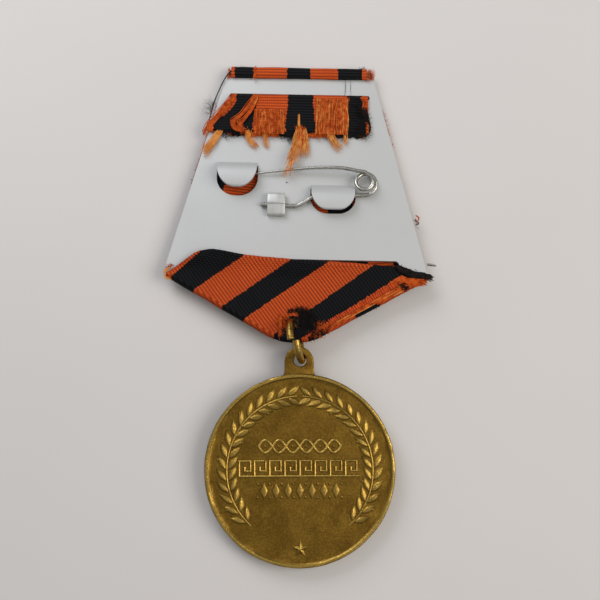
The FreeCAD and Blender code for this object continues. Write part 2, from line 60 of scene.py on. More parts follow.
# Where the mount and the medal lie. The mount's own frame has its origin at the sharp corner of
# the V, +Y towards the top edge and z = 0 on the plate's front. The medal's has it at the middle
# of the disc, +Y towards the eye. Both are in millimetres until a piece is seated.
MOUNT = Matrix.Translation((0, -7.4426, 2.2648)) @ Matrix.Rotation(math.radians(-1.75), 4, "X")
MEDAL = (Matrix.Translation((1.380, -27.830, 2.044)) @ Matrix.Rotation(math.radians(1.5), 4, "Z")
         @ Matrix.Rotation(math.radians(2.67), 4, "X"))

# The plate's outline: the V's slope, the radius of its blunt tip, the lean of its sides, and the
# height of its back. The ribbon's tables are drawn for a ribbon this wide.
V_SLOPE = 12.95 / 23
V_ANGLE = math.atan(V_SLOPE)
TIP_ROUND = 10.0
SIDE_LEAN = 10.0 / 37.95
PLATE_BACK = 0.8
RIBBON_WIDTH = 24.0


# ---------------------------------------------------------------- sizes and colours to change

class RibbonProperties(bpy.types.PropertyGroup):
    width: bpy.props.FloatProperty(
        name="Width", description="Width of the ribbon in millimetres", default=RIBBON_WIDTH,
        min=10)
    cloth: bpy.props.FloatProperty(
        name="Cloth", description="Thickness of the silk in millimetres", default=0.28, min=0.05)
    rib_pitch: bpy.props.FloatProperty(
        name="Rib pitch", description="Distance between two ribs in millimetres", default=0.53,
        min=0.2)
    rib_height: bpy.props.FloatProperty(
        name="Rib height", description="Half the height of a rib in millimetres", default=0.05,
        min=0)
    orange: bpy.props.StringProperty(
        name="Orange", description="Colour of the orange silk", default="#C9511B")
    # painted shade: the orange as it darkens in the grooves between the ribs
    orange_groove_shade: bpy.props.StringProperty(
        name="Deep orange", description="Colour between the orange ribs", default="#7C2408")
    black: bpy.props.StringProperty(
        name="Black", description="Colour of the black silk", default="#16181B")


class MetalProperties(bpy.types.PropertyGroup):
    plate: bpy.props.StringProperty(
        name="Plate", description="Colour of the mount's white metal", default="#C5C6C4")
    brass: bpy.props.StringProperty(
        name="Brass", description="Colour of the brass where it is worn", default="#C7A654")
    brass_dark: bpy.props.StringProperty(
        name="Dark brass", description="Colour of the tarnished field", default="#755720")
    steel: bpy.props.StringProperty(
        name="Steel", description="Colour of the pin's wire", default="#B9B7AE")
    brass_grain: bpy.props.FloatProperty(
        name="Grain", description="Size of the field's grain in millimetres", default=0.32, min=0.05)


# ---------------------------------------------------------------- helpers

def select_only(*objects):
    bpy.ops.object.select_all(action="DESELECT")
    for item in objects:
        item.select_set(True)
    if objects:
        bpy.context.view_layer.objects.active = objects[0]


def apply_modifier(piece, kind, **settings):
    select_only(piece)
    modifier = piece.modifiers.new(kind.title(), kind)
    for name, value in settings.items():
        setattr(modifier, name, value)
    bpy.ops.object.modifier_apply(modifier=modifier.name)


def seat(piece, place=Matrix.Identity(4)):
    """Bring a piece drawn in millimetres to its place in metres, with its object at the origin."""
    piece.data.transform(Matrix.Scale(MM, 4) @ place @ piece.matrix_basis)
    piece.matrix_basis = Matrix.Identity(4)


def join(name, pieces):
    select_only(*pieces)
    if len(pieces) > 1:
        bpy.ops.object.join()
    joined = bpy.context.view_layer.objects.active
    joined.name = joined.data.name = name
    return joined


def face_outwards(piece, merge=None):
    select_only(piece)
    bpy.ops.object.mode_set(mode="EDIT")
    bpy.ops.mesh.select_all(action="SELECT")
    if merge:
        bpy.ops.mesh.remove_doubles(threshold=merge)
    bpy.ops.mesh.normals_make_consistent(inside=False)
    bpy.ops.object.mode_set(mode="OBJECT")


def finish_piece(piece, material, body, angle=None):
    """Shade a seated piece, give it its finish and let it move with its body."""
    select_only(piece)
    if angle is None:
        bpy.ops.object.shade_smooth()
    else:
        bpy.ops.object.shade_smooth_by_angle(angle=math.radians(angle))
    piece.data.materials.clear()
    piece.data.materials.append(material)
    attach(piece, body)
    return piece


def table_value(table, at):
    """The value at a place in a table of (place, value), in straight steps."""
    for (low, first), (high, last) in zip(table, table[1:]):
        if at <= high:
            share = max(0.0, (at - low) / (high - low))
            return first + (last - first) * share
    return table[-1][1]


def smooth_step(value):
    value = min(1.0, max(0.0, value))
    return value * value * (3 - 2 * value)


def smooth_path(points, steps=8):
    """A Catmull-Rom line through the points."""
    points = [Vector(point) for point in points]
    ends = [2 * points[0] - points[1]] + points + [2 * points[-1] - points[-2]]
    line = []
    for before, start, end, after in zip(ends, ends[1:], ends[2:], ends[3:]):
        for step in range(steps):
            t = step / steps
            line.append(0.5 * (2 * start + (end - before) * t
                               + (2 * before - 5 * start + 4 * end - after) * t ** 2
                               + (3 * start - before - 3 * end + after) * t ** 3))
    return line + [points[-1]]


def spread(line, count):
    """Where count points at equal distances stand on a line, as (knot, share), and its length."""
    lengths = [0.0]
    for first, last in zip(line, line[1:]):
        lengths.append(lengths[-1] + (last - first).length)
    places, index = [], 0
    for number in range(count):
        want = lengths[-1] * number / (count - 1)
        while index < len(line) - 2 and lengths[index + 1] < want:
            index += 1
        span = lengths[index + 1] - lengths[index] or 1.0
        places.append((index, min(1.0, (want - lengths[index]) / span)))
    return places, lengths[-1]


def points_at(line, places):
    return [line[index].lerp(line[index + 1], share) for index, share in places]


def linked(name, data):
    """A new object in the scene for a mesh or a curve."""
    piece = bpy.data.objects.new(name, data)
    bpy.context.scene.collection.objects.link(piece)
    return piece


def polar(radius, angle):
    return radius * math.cos(angle), radius * math.sin(angle)


def circle(radius, count):
    return [polar(radius, number * TURN / count) for number in range(count)]


def wires(name, lines, place, resolution=2):
    """Round wires or threads: each line is a list of (point, radius) in millimetres."""
    curve = bpy.data.curves.new(name, "CURVE")
    curve.dimensions = "3D"
    curve.bevel_depth = 1.0
    curve.bevel_resolution = resolution
    curve.use_fill_caps = True
    for line in lines:
        spline = curve.splines.new("POLY")
        spline.points.add(len(line) - 1)
        for knot, (point, radius) in zip(spline.points, line):
            knot.co = (*point, 1)
            knot.radius = radius
    piece = linked(name, curve)
    select_only(piece)
    bpy.ops.object.convert(target="MESH")
    seat(piece, place)
    return piece


# ---------------------------------------------------------------- material nodes

MATH, MIX = "ShaderNodeMath", "ShaderNodeMix"
NOISE, RANGE = "ShaderNodeTexNoise", "ShaderNodeMapRange"
PLACE, MAPPING, SPLIT = "ShaderNodeTexCoord", "ShaderNodeMapping", "ShaderNodeSeparateXYZ"
SHADER, OUTPUT, BUMP = "ShaderNodeBsdfPrincipled", "ShaderNodeOutputMaterial", "ShaderNodeBump"


def linear(hex_colour):
    """An sRGB hex colour as the linear numbers that shaders take."""
    values = [int(hex_colour[place:place + 2], 16) / 255 for place in (1, 3, 5)]
    return [value / 12.92 if value <= 0.04045 else ((value + 0.055) / 1.055) ** 2.4
            for value in values] + [1.0]


def add_node(tree, kind, inputs=(), **settings):
    """A node with its settings; each input takes a value, a socket, or a node's live output."""
    node = tree.nodes.new(kind)
    for name, value in settings.items():
        setattr(node, name, value)
    for name, value in dict(inputs).items():
        if isinstance(value, bpy.types.Node):
            value = next(socket for socket in value.outputs if socket.enabled)
        if isinstance(value, bpy.types.NodeSocket):
            tree.links.new(value, node.inputs[name])
        else:
            node.inputs[name].default_value = value
    return node


def new_material(name):
    """A material with an empty tree, and the function that adds nodes to it."""
    material = bpy.data.materials.new(name)
    material.use_nodes = True
    material.node_tree.nodes.clear()
    return material, functools.partial(add_node, material.node_tree)


def per(size):
    """The scale of a pattern whose features are size millimetres across."""
    return 1 / (size * MM)


# A colour mix takes its share, first and last colour on sockets 0, 6 and 7. A range takes its
# value, the two ends it is read between and the two ends it is given on sockets 0 to 4.

def tinted(add, colour, tints):
    """A colour under other tints, each (pattern, low, high, most it covers, hex colour)."""
    for pattern, low, high, most, tint in tints:
        share = add(RANGE, {0: pattern, 1: low, 2: high, 4: most})
        colour = add(MIX, {0: share, 6: colour, 7: linear(tint)}, data_type="RGBA")
    return colour


STRIPES = [(0.0, "orange"), (1.0, "black"), (4.8, "orange"), (10.1, "black"), (13.9, "orange"),
           (19.2, "black"), (23.0, "orange")]


def ribbed_silk(ribbon):
    """Ribbed silk ribbon: dull matt threads, with painted shade darkening the grooves between the cross
    ribs.
    """
    material, add = new_material("Ribbed silk ribbon")
    width, pitch = ribbon.width, ribbon.rib_pitch
    place = add(PLACE).outputs
    split = add(SPLIT, {0: place["UV"]}).outputs
    across = add(MATH, {0: split["X"], 1: width}, operation="MULTIPLY")
    along = add(MATH, {0: split["Y"], 1: width}, operation="MULTIPLY")
    turns = add(MATH, {0: along, 1: TURN / pitch}, operation="MULTIPLY")
    ribs = add(MATH, {0: turns}, operation="COSINE")
    # The warp is about 0.12 mm apart, too fine to show, so it is drawn 0.36 mm apart.
    turns = add(MATH, {0: across, 1: TURN / 0.36}, operation="MULTIPLY")
    warp = add(MATH, {0: turns}, operation="SINE")
    wobble = add(NOISE, {"Vector": place["Object"], "Scale": per(0.5), "Detail": 2})
    wander = add(RANGE, {0: wobble, 1: 0.3, 2: 0.7, 3: -0.12, 4: 0.12})
    moved = add(MATH, {0: across, 1: wander}, operation="ADD")
    ramp = add("ShaderNodeValToRGB", {0: add(MATH, {0: moved, 1: width}, operation="DIVIDE")})
    ramp.color_ramp.interpolation = "CONSTANT"
    elements = ramp.color_ramp.elements
    elements.remove(elements[1])
    for number, (start, colour) in enumerate(STRIPES):
        element = elements[0] if number == 0 else elements.new(start / width)
        element.color = (1, 1, 1, 1) if colour == "orange" else (0, 0, 0, 1)
    patches = add(NOISE, {"Vector": place["Object"], "Scale": per(4.0), "Detail": 4})
    fibres = add(NOISE, {"Vector": place["Object"], "Scale": per(0.28), "Detail": 3})
    # The tail is worn: towards its end the cross ribs are gone and the loose warp is brighter. The same
    # fade also stands for painted shade, leaving the tail darker up by the slot's bar.
    tail = add(MATH, {0: along, 1: TAIL_START - 1}, operation="GREATER_THAN")
    end = add(RANGE, {0: along, 1: TAIL_START + 6.5, 2: TAIL_START + 2.5})
    wear_and_shade = add(MATH, {0: tail, 1: end}, operation="MULTIPLY")
    # Painted shade: the orange falls to the deep groove tone between the ribs and rises to the full
    # orange on their crests.
    orange = tinted(add, linear(ribbon.orange_groove_shade), (
        (ribs, -0.9, 0.7, 1, ribbon.orange), (patches, 0.4, 0.7, 0.45, "#A53612"),
        (warp, 0, 1, 0.15, "#D97C42"), (fibres, 0.5, 0.75, 0.3, "#641E06")))
    floss = tinted(add, linear("#A83E0E"), [(warp, -0.6, 0.8, 1, "#DC6E22")])
    wear_and_shade = add(MATH, {0: wear_and_shade, 1: 0.85}, operation="MULTIPLY")
    orange = add(MIX, {0: wear_and_shade, 6: orange, 7: floss}, data_type="RGBA")
    # Painted shade: the black is darker still in the grooves between the ribs, and the crests take the
    # silk's black.
    black = tinted(add, linear("#040405"), (
        (ribs, 0.2, 1, 1, ribbon.black), (fibres, 0.58, 0.8, 0.4, "#1E2025")))
    colour = add(MIX, {0: ramp, 6: black, 7: orange}, data_type="RGBA")
    cords = add(MATH, {0: warp, 1: 0.15}, operation="MULTIPLY")
    height = add(MATH, {0: cords, 1: fibres}, operation="ADD")
    relief = add(BUMP, {"Height": height, "Distance": 0.03 * MM, "Strength": 0.5})
    shader = add(SHADER, {"Base Color": colour, "Roughness": 0.7, "Specular IOR Level": 0.12,
                          "Normal": relief})
    add(OUTPUT, {"Surface": shader})
    return material


def silk_thread(name, light, dark):
    """Loose silk thread: matt, with a slight change of tone along it."""
    material, add = new_material(name)
    place = add(PLACE).outputs["Object"]
    tone = add(NOISE, {"Vector": place, "Scale": per(0.8), "Detail": 3})
    colour = tinted(add, linear(light), [(tone, 0.35, 0.65, 1, dark)])
    shader = add(SHADER, {"Base Color": colour, "Roughness": 0.7, "Specular IOR Level": 0.12})
    add(OUTPUT, {"Surface": shader})
    return material


def white_metal(metals):
    """Stamped white metal, tumbled dull: pale, with a soft sheen, faint stains and scratches."""
    material, add = new_material("Tumbled white metal")
    place = add(PLACE).outputs["Object"]
    clouds = add(NOISE, {"Vector": place, "Scale": per(9.0), "Detail": 5})
    specks = add(NOISE, {"Vector": place, "Scale": per(0.5), "Detail": 2})
    drawn = add(MAPPING, {"Vector": place, "Rotation": (0, 0, 0.5), "Scale": (0.06, 1.6, 1)})
    scratches = add(NOISE, {"Vector": drawn, "Scale": per(0.5), "Detail": 4})
    colour = tinted(add, linear(metals.plate), (
        (clouds, 0.35, 0.7, 0.4, "#BDBFBD"), (specks, 0.74, 0.8, 0.35, "#A9A49B"),
        (scratches, 0.66, 0.74, 0.25, "#B3B5B5")))
    height = add(MATH, {0: scratches, 1: specks}, operation="ADD")
    relief = add(BUMP, {"Height": height, "Distance": 0.01 * MM, "Strength": 0.35})
    matt = add(RANGE, {0: clouds, 1: 0.3, 2: 0.7, 3: 0.5, 4: 0.6})
    shader = add(SHADER, {"Base Color": colour, "Metallic": 0.4, "Roughness": matt,
                          "Normal": relief})
    add(OUTPUT, {"Surface": shader})
    return material


def worn_brass(metals, name, lift=0.0):
    """Struck brass: tarnished brown-gold in the field, rubbed bright on what stands proud."""
    material, add = new_material(name)
    place = add(PLACE).outputs["Object"]
    # Turned into the medal's own frame, so that height above the field can be read.
    back = MEDAL.inverted()
    turned = add(MAPPING, {"Vector": place, "Rotation": back.to_euler("XYZ"),
                           "Location": Vector(back.translation) * MM})
    height = add(MATH, {0: add(SPLIT, {0: turned}).outputs["Z"]}, operation="ABSOLUTE")
    proud = add(RANGE, {0: height, 1: 1.06 * MM, 2: 1.30 * MM, 3: lift})
    clouds = add(NOISE, {"Vector": place, "Scale": per(3.2), "Detail": 5})
    grain = add(NOISE, {"Vector": place, "Scale": per(metals.brass_grain), "Detail": 3})
    stains = add(NOISE, {"Vector": place, "Scale": per(1.8), "Detail": 3})
    fine = add(NOISE, {"Vector": place, "Scale": per(0.12), "Detail": 2})
    colour = tinted(add, linear(metals.brass_dark), (
        (clouds, 0.35, 0.65, 1, "#8E6D2A"), (grain, 0.45, 0.65, 0.45, "#5A4016"),
        (grain, 0.5, 0.35, 0.25, "#A8863C"), (proud, 0, 1, 0.6, metals.brass),
        (stains, 0.66, 0.74, 0.5, "#5A3420")))
    matt = add(RANGE, {0: grain, 1: 0.3, 2: 0.7, 3: 0.32, 4: 0.46})
    rubbed = add(MATH, {0: proud, 1: 0.1}, operation="MULTIPLY")
    matt = add(MATH, {0: matt, 1: rubbed}, operation="SUBTRACT")
    rough = add(MATH, {0: grain, 1: fine}, operation="ADD")
    relief = add(BUMP, {"Height": rough, "Distance": 0.04 * MM, "Strength": 0.9})
    shader = add(SHADER, {"Base Color": colour, "Metallic": 1.0, "Roughness": matt,
                          "Normal": relief})
    add(OUTPUT, {"Surface": shader})
    return material


def drawn_steel(metals):
    """Plated steel wire: bright, with small dark pits where the plating has gone."""
    material, add = new_material("Plated steel wire")
    place = add(PLACE).outputs["Object"]
    pits = add(NOISE, {"Vector": place, "Scale": per(0.45), "Detail": 3})
    colour = tinted(add, linear(metals.steel), [(pits, 0.6, 0.7, 0.8, "#5E5A50")])
    matt = add(RANGE, {0: pits, 1: 0.4, 2: 0.7, 3: 0.22, 4: 0.45})
    relief = add(BUMP, {"Height": pits, "Distance": 0.02 * MM, "Strength": 0.5})
    shader = add(SHADER, {"Base Color": colour, "Metallic": 1.0, "Roughness": matt,
                          "Normal": relief})
    add(OUTPUT, {"Surface": shader})
    return material


def brushed_sheet():
    """Rolled nickel-plated sheet: grey, with a fine line grain across the catch."""
    material, add = new_material("Rolled plated sheet")
    place = add(PLACE).outputs["Object"]
    drawn = add(MAPPING, {"Vector": place, "Scale": (0.15, 1, 1)})
    lines = add(NOISE, {"Vector": drawn, "Scale": per(0.12), "Detail": 3})
    dull = add(NOISE, {"Vector": place, "Scale": per(1.2), "Detail": 3})
    colour = tinted(add, linear("#CBCBC7"), (
        (lines, 0.35, 0.7, 0.4, "#B4B4B0"), (dull, 0.5, 0.75, 0.35, "#9C9C98")))
    matt = add(RANGE, {0: lines, 1: 0.3, 2: 0.7, 3: 0.4, 4: 0.55})
    relief = add(BUMP, {"Height": lines, "Distance": 0.008 * MM, "Strength": 0.5})
    shader = add(SHADER, {"Base Color": colour, "Metallic": 0.5, "Roughness": matt,
                          "Normal": relief})
    add(OUTPUT, {"Surface": shader})
    return material


def paper_floor():
    """Plain matt card."""
    material, add = new_material("Matt card")
    place = add(PLACE).outputs["Object"]
    tone = add(NOISE, {"Vector": place, "Scale": per(60.0), "Detail": 2})
    colour = add(MIX, {0: tone, 6: linear("#D2CECA"), 7: linear("#D8D5D1")}, data_type="RGBA")
    shader = add(SHADER, {"Base Color": colour, "Roughness": 0.9, "Specular IOR Level": 0.1})
    add(OUTPUT, {"Surface": shader})
    return material


# ---------------------------------------------------------------- ribbon shapes, in the mount's frame

def v_edge(x):
    """The height of the plate's lower edge, with its blunt tip."""
    if abs(x) > TIP_ROUND * math.sin(V_ANGLE):
        return V_SLOPE * abs(x)
    return TIP_ROUND / math.cos(V_ANGLE) - math.sqrt(TIP_ROUND ** 2 - x * x)


def v_outward(x):
    if abs(x) > TIP_ROUND * math.sin(V_ANGLE):
        return Vector((math.copysign(math.sin(V_ANGLE), x), -math.cos(V_ANGLE), 0))
    return Vector((x, v_edge(x) - TIP_ROUND / math.cos(V_ANGLE), 0)).normalized()


# The ring leans, so its gaps differ from layer to layer: one through the front panel, and for the
# runs a wide one through the wings and a narrow one on the back. Each is a round hole, given as
# (x, y, radius, lowest z, highest z).
STRIP_GAP = (0, 4.1, 2.6, -3.0, 3.0)
RUN_GAPS = [(0.0, 3.95, 2.0, -1.0, 0.5), (-0.35, 4.25, 1.15, 0.5, 3.0)]


def cloth_mesh(name, columns, ribbon, gaps=(), wave=0.05, seed=0):
    """A sheet from columns of (points, distances along the ribbon), one per step across it.

    The ribs are raised along the sheet's normals, and faces inside a gap are left out."""
    rows, across = len(columns[0][1][0]), len(columns)
    mesh = bpy.data.meshes.new(name)
    vertices = [point for _, (points, _) in columns for point in points]
    faces = []
    for column in range(across - 1):
        for row in range(rows - 1):
            first = column * rows + row
            face = (first, first + rows, first + rows + 1, first + 1)
            middle = sum((vertices[index] for index in face), Vector()) / 4
            if not any((middle.xy - Vector((x, y))).length < radius and low <= middle.z < high
                       for x, y, radius, low, high in gaps):
                faces.append(face)
    mesh.from_pydata(vertices, [], faces)
    mesh.update()
    wave_at = TURN / ribbon.rib_pitch
    normals = [vertex.normal.copy() for vertex in mesh.vertices]
    marks = []
    for number, vertex in enumerate(mesh.vertices):
        at, (_, distances) = columns[number // rows]
        along = distances[number % rows]
        marks.append((at / ribbon.width, along / ribbon.width))
        edge = min(at, ribbon.width - at)
        # each rib ends in a bead near the edge, and the ribs are worn down at the tail's end
        bead = 0.07 * math.exp(-((edge - 0.95) / 0.22) ** 2)
        height = ribbon.rib_height * (0.45 if 0 < along - TAIL_START < 5.5 else 1.0)
        rise = (height + bead) * math.cos(wave_at * along)
        rise += wave * noise.noise(vertex.co * 0.35 + Vector((seed, 0, 0)))
        vertex.co += normals[number] * rise
    layer = mesh.uv_layers.new(name="Ribbon")
    for loop in mesh.loops:
        layer.data[loop.index].uv = marks[loop.vertex_index]
    piece = linked(name, mesh)
    select_only(piece)
    bpy.ops.object.mode_set(mode="EDIT")
    bpy.ops.mesh.select_all(action="SELECT")
    bpy.ops.mesh.delete_loose(use_verts=True, use_edges=True, use_faces=False)
    bpy.ops.object.mode_set(mode="OBJECT")
    apply_modifier(piece, "SOLIDIFY", thickness=ribbon.cloth, offset=0.0)
    seat(piece, MOUNT)
    return piece


# Where the stripes' borders lie across the mount: (distance across the ribbon, x).
TAIL_END = [(0, -16.4), (1, -15.2), (4.8, -8.3), (10.1, -2.5), (13.9, 2.9), (19.2, 8.7),
            (23, 12.0), (24, 12.5)]
TAIL_HEM = [(0, -12.6), (1, -12.0), (4.8, -9.9), (10.1, -3.6), (13.9, -0.6), (19.2, 6.6),
            (23, 10.9), (24, 11.6)]
TAIL_TOP = [(0, -12.1), (1, -11.5), (4.8, -7.9), (10.1, -2.1), (13.9, 2.4), (19.2, 8.6),
            (23, 11.4), (24, 12.4)]
WRAP = [(0, -12.5), (1, -11.9), (4.8, -8.6), (10.1, -2.4), (13.9, 1.8), (19.2, 6.8),
        (23, 11.2), (24, 12.1)]
PANEL = [(0, -12.0), (24, 12.0)]

# Distances along the strip start here, so that the shader can tell its worn tail from the runs.
TAIL_START = 120.0

# The height of the front panel, over the plate's front.
PANEL_Z = -0.57

# The ribbon's side view from its loose end: (y, z, which table sets x).
STRIP_PATH = [
    (38.0, 0.97, "hem"), (38.45, 1.02, "hem"), (38.75, 1.22, "end"), (39.2, 1.38, "end"),
    (40.3, 1.30, "end"), (42.2, 1.20, "mid"), (44.2, 1.15, "top"), (45.45, 1.10, "top"),
    (45.88, 0.78, "top"), (45.92, 0.30, "top"), (45.98, -0.12, "top"), (46.4, -0.23, "top"),
    (47.7, -0.24, "wrap"), (49.0, -0.22, "wrap"), (49.42, -0.02, "wrap"), (49.5, 0.4, "wrap"),
    (49.28, 0.88, "wrap"), (49.25, 1.16, "wrap"), (49.7, 1.34, "wrap"), (50.4, 1.34, "wrap"),
    (51.0, 1.05, "wrap"), (51.22, 0.5, "wrap"), (51.1, -0.1, "wrap"), (50.7, -0.48, "panel"),
    (49.5, PANEL_Z, "panel"), (45.0, PANEL_Z, "panel"), (30.0, PANEL_Z, "panel"),
]


def strip_x(kind, across):
    if kind == "mid":
        return 0.6 * table_value(TAIL_TOP, across) + 0.4 * table_value(TAIL_END, across)
    tables = {"hem": TAIL_HEM, "end": TAIL_END, "top": TAIL_TOP, "wrap": WRAP, "panel": PANEL}
    return table_value(tables[kind], across)


def strip_line(across):
    """One warp line of the strip that runs from the loose tail to the foot of the front panel."""
    fray = 0.35 * noise.noise(Vector((across * 1.7, 3.1, 0)))
    points = []
    for number, (y, z, kind) in enumerate(STRIP_PATH):
        if number < 2:
            y += fray
        points.append((strip_x(kind, across), y, z))
    foot_x = across - RIBBON_WIDTH / 2
    foot_y = v_edge(foot_x) + 0.35
    points += [(foot_x, 22.0, PANEL_Z), (foot_x, foot_y + 1.2, PANEL_Z),
               (foot_x, foot_y + 0.3, PANEL_Z + 0.05), (foot_x, foot_y - 0.25, PANEL_Z + 0.21)]
    return smooth_path(points)


def ribbon_strip(ribbon):
    rows, lines = 520, 72
    middle = strip_line(RIBBON_WIDTH / 2)
    places, length = spread(middle, rows)
    step = length / (rows - 1)
    # the row where the strip turns down on to the panel
    turn = next(row for row in range(rows) if middle[places[row][0]].z < -0.5
                and middle[places[row][0]].y > 50)
    columns = []
    for number in range(lines + 1):
        across = ribbon.width * number / lines
        points = points_at(strip_line(across), places)
        # The ribs stay level on the panel, so distances follow the height there.
        distances = [TAIL_START + step * row if row < turn
                     else TAIL_START + step * turn + points[turn].y - points[row].y
                     for row in range(rows)]
        columns.append((across, (points, distances)))
    return cloth_mesh("ribbon_strip", columns, ribbon, gaps=[STRIP_GAP],
                      wave=0.06, seed=4)


# Where each warp line crosses the V's edge and where it reaches its upper fold.
LEFT_EDGE = [(0, -22.3), (1, -21.4), (4.8, -17.4), (10.1, -12.35), (13.9, -8.6), (19.2, -3.5),
             (23, 1.2), (24, 2.3)]
LEFT_FOLD_X = [(0, -17.6), (1, -16.6), (4.8, -9.1), (10.1, -0.9), (13.9, 5.6), (19.2, 13.6),
               (22.0, 17.1), (23, 18.2), (24, 19.6)]
LEFT_FOLD_Y = [(0, 16.0), (1, 16.35), (2.2, 16.7), (4.8, 15.85), (10.1, 15.3), (13.9, 15.05),
               (19.2, 14.7), (22.0, 14.2), (23, 12.9), (24, 12.1)]
RIGHT_EDGE = [(0, 23.0), (1, 22.6), (4.8, 18.5), (10.1, 14.5), (13.9, 10.4), (19.2, 5.0),
              (23, 0.4), (24, -1.0)]
RIGHT_FOLD_X = [(0, 18.6), (1, 17.6), (4.8, 10.0), (10.1, 1.5), (13.9, -5.0), (19.2, -12.6),
                (23, -16.6), (24, -17.4)]
RIGHT_FOLD_Y = [(0, 14.3), (1, 14.35), (4.8, 14.3), (24, 13.9)]


# How far a run on the back climbs from the level, and the long slot's half length and height.
RUN_SLOPE, SLOT_HALF, SLOT_Y = math.radians(37), 17.7, 15.2

# How far a wing shows beyond the plate's side: (height, millimetres).
PEEK_LEFT = [(13, -0.1), (22, 0.0), (27, 0.3), (33, 0.4), (44, 0.35), (46, -0.1)]
PEEK_RIGHT = [(13, -0.1), (36, -0.05), (39, 0.2), (44, 0.25), (46, -0.1)]


def run_column(across, side, tables, back_z, bulge, rows):
    """One warp line from a wing on the front, round the V's edge and up to the long slot."""
    edge, fold_x, fold_y = tables
    front_z, wing_top = -0.2, 44.6
    x = table_value(edge, across)
    foot = Vector((x, v_edge(x), 0))
    outward = v_outward(x)
    fold = Vector((table_value(fold_x, across), table_value(fold_y, across), 0))
    heading = (fold - foot).normalized()
    lean = -side * SIDE_LEAN
    if x * side > 0.2:
        top = min(wing_top, foot.y + abs(x) / SIDE_LEAN)
    else:
        top = foot.y + 0.6
    edge_room = 1 - across / RIBBON_WIDTH
    front = []
    for step in range(13):
        rise = (top - foot.y) * (1 - step / 12)
        peek = table_value(PEEK_LEFT if side < 0 else PEEK_RIGHT, foot.y + rise)
        shift = (side * (23 + peek) - table_value(edge, 0)) * edge_room * smooth_step(rise / 4)
        front.append(Vector((foot.x + lean * rise + shift, foot.y + rise + 0.05, front_z)))
    wrap = []
    middle, half = (front_z + back_z) / 2, (back_z - front_z) / 2
    for step in range(1, 10):
        angle = math.pi * (step / 10 - 0.5)
        wrap.append(foot + outward * (bulge * math.cos(angle) + 0.02)
                    + Vector((0, 0, middle + half * math.sin(angle))))
    back = []
    span = (fold - foot).length
    puff = 0.75 * math.exp(-((across - 2.4) / 2.4) ** 2) if side < 0 else 0.0
    for step in range(13):
        share = step / 12
        lift = puff * smooth_step((share - 0.25) / 0.6)
        lift += 0.06 * noise.noise(Vector((across * 0.3, share * 4, 1.7 * side)))
        back.append(foot.lerp(fold, 0.96 * share) + Vector((0, 0, back_z + lift)))
    high = back[-1].z
    # within the long slot's length the line turns down into it, and beyond it on to the plate
    inside = abs(fold.x) < SLOT_HALF
    low = 0.1 if inside else PLATE_BACK + 0.15
    turn_in = min(fold.y - 0.1, SLOT_Y) if inside else fold.y - 0.1
    start, end = back[-1], Vector((fold.x - heading.x * 0.2, turn_in, low))
    ahead = start + heading * min(0.7, 0.06 * span + 0.35)
    over = Vector((fold.x + heading.x * 0.25, fold.y + 0.12, (high + low) / 2 + 0.25))
    turn = []
    for step in range(1, 9):
        t = step / 8
        turn.append(start * (1 - t) ** 3 + ahead * 3 * t * (1 - t) ** 2
                    + over * 3 * t * t * (1 - t) + end * t ** 3)
    lines = (front, [front[-1]] + wrap + [back[0]], back, [back[-1]] + turn)
    spreads = [spread(line, count) for line, count in zip(lines, rows)]
    lengths = [length for _, length in spreads]
    parts, distances = [], []
    # the ribs are counted along the run's slope, so that they match from line to line
    level = Vector((-side * math.cos(RUN_SLOPE), math.sin(RUN_SLOPE), 0))
    start_at = foot.dot(level) - lengths[1] / 2
    begins = (start_at - lengths[0], start_at + lengths[1] / rows[1], start_at + lengths[1],
              start_at + lengths[1] + lengths[2])
    for line, (places, length), begin in zip(lines, spreads, begins):
        # each later part leaves out the point it shares with the one before
        points = points_at(line, places)[1 if parts else 0:]
        parts += points
        distances += [begin + length * number / (len(points) - 1) for number in range(len(points))]
    return parts, distances


def ribbon_run(name, side, tables, back_z, bulge, ribbon, seed):
    rows, lines = (110, 14, 170, 14), 56
    columns = []
    for number in range(lines + 1):
        across = ribbon.width * number / lines
        columns.append((across, run_column(across, side, tables, back_z, bulge, rows)))
    return cloth_mesh(name, columns, ribbon, gaps=RUN_GAPS, wave=0.08, seed=seed)


def add_ribbon(ribbon, material):
    strip = ribbon_strip(ribbon)
    left = ribbon_run("ribbon_left_run", -1, (LEFT_EDGE, LEFT_FOLD_X, LEFT_FOLD_Y), 1.42, 0.44,
                      ribbon, 1)
    right = ribbon_run("ribbon_right_run", 1, (RIGHT_EDGE, RIGHT_FOLD_X, RIGHT_FOLD_Y), 1.02, 0.40,
                       ribbon, 9)
    for piece in (strip, left, right):
        finish_piece(piece, material, "mount")
    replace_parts(strip, "ribbon_tail", "ribbon_bar_loop", "ribbon_top_wrap", "ribbon_front_panel")
    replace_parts(left, "ribbon_left_wing", "ribbon_back_fold")
    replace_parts(right, "ribbon_right_wing")
    return strip, left, right


# ---------------------------------------------------------------- frayed threads

def laid(rng, points, count, room, radius, taper=0.4, flare=0.0):
    """A bundle of threads laid side by side along the points, opening out by the flare."""
    lines = []
    for _ in range(count):
        off = Vector((rng.gauss(0, room), rng.gauss(0, room), rng.uniform(0, 0.6) * room))
        knots = [Vector(point) + off * (1 + flare * number / len(points))
                 + Vector((rng.gauss(0, room), rng.gauss(0, room), 0)) * 0.3
                 for number, point in enumerate(points)]
        size = radius * rng.uniform(0.7, 1.15)
        line = smooth_path(knots, 4)
        last = len(line) - 1
        lines.append([(point, size * (1 - taper * (number / last) ** 3))
                      for number, point in enumerate(line)])
    return lines


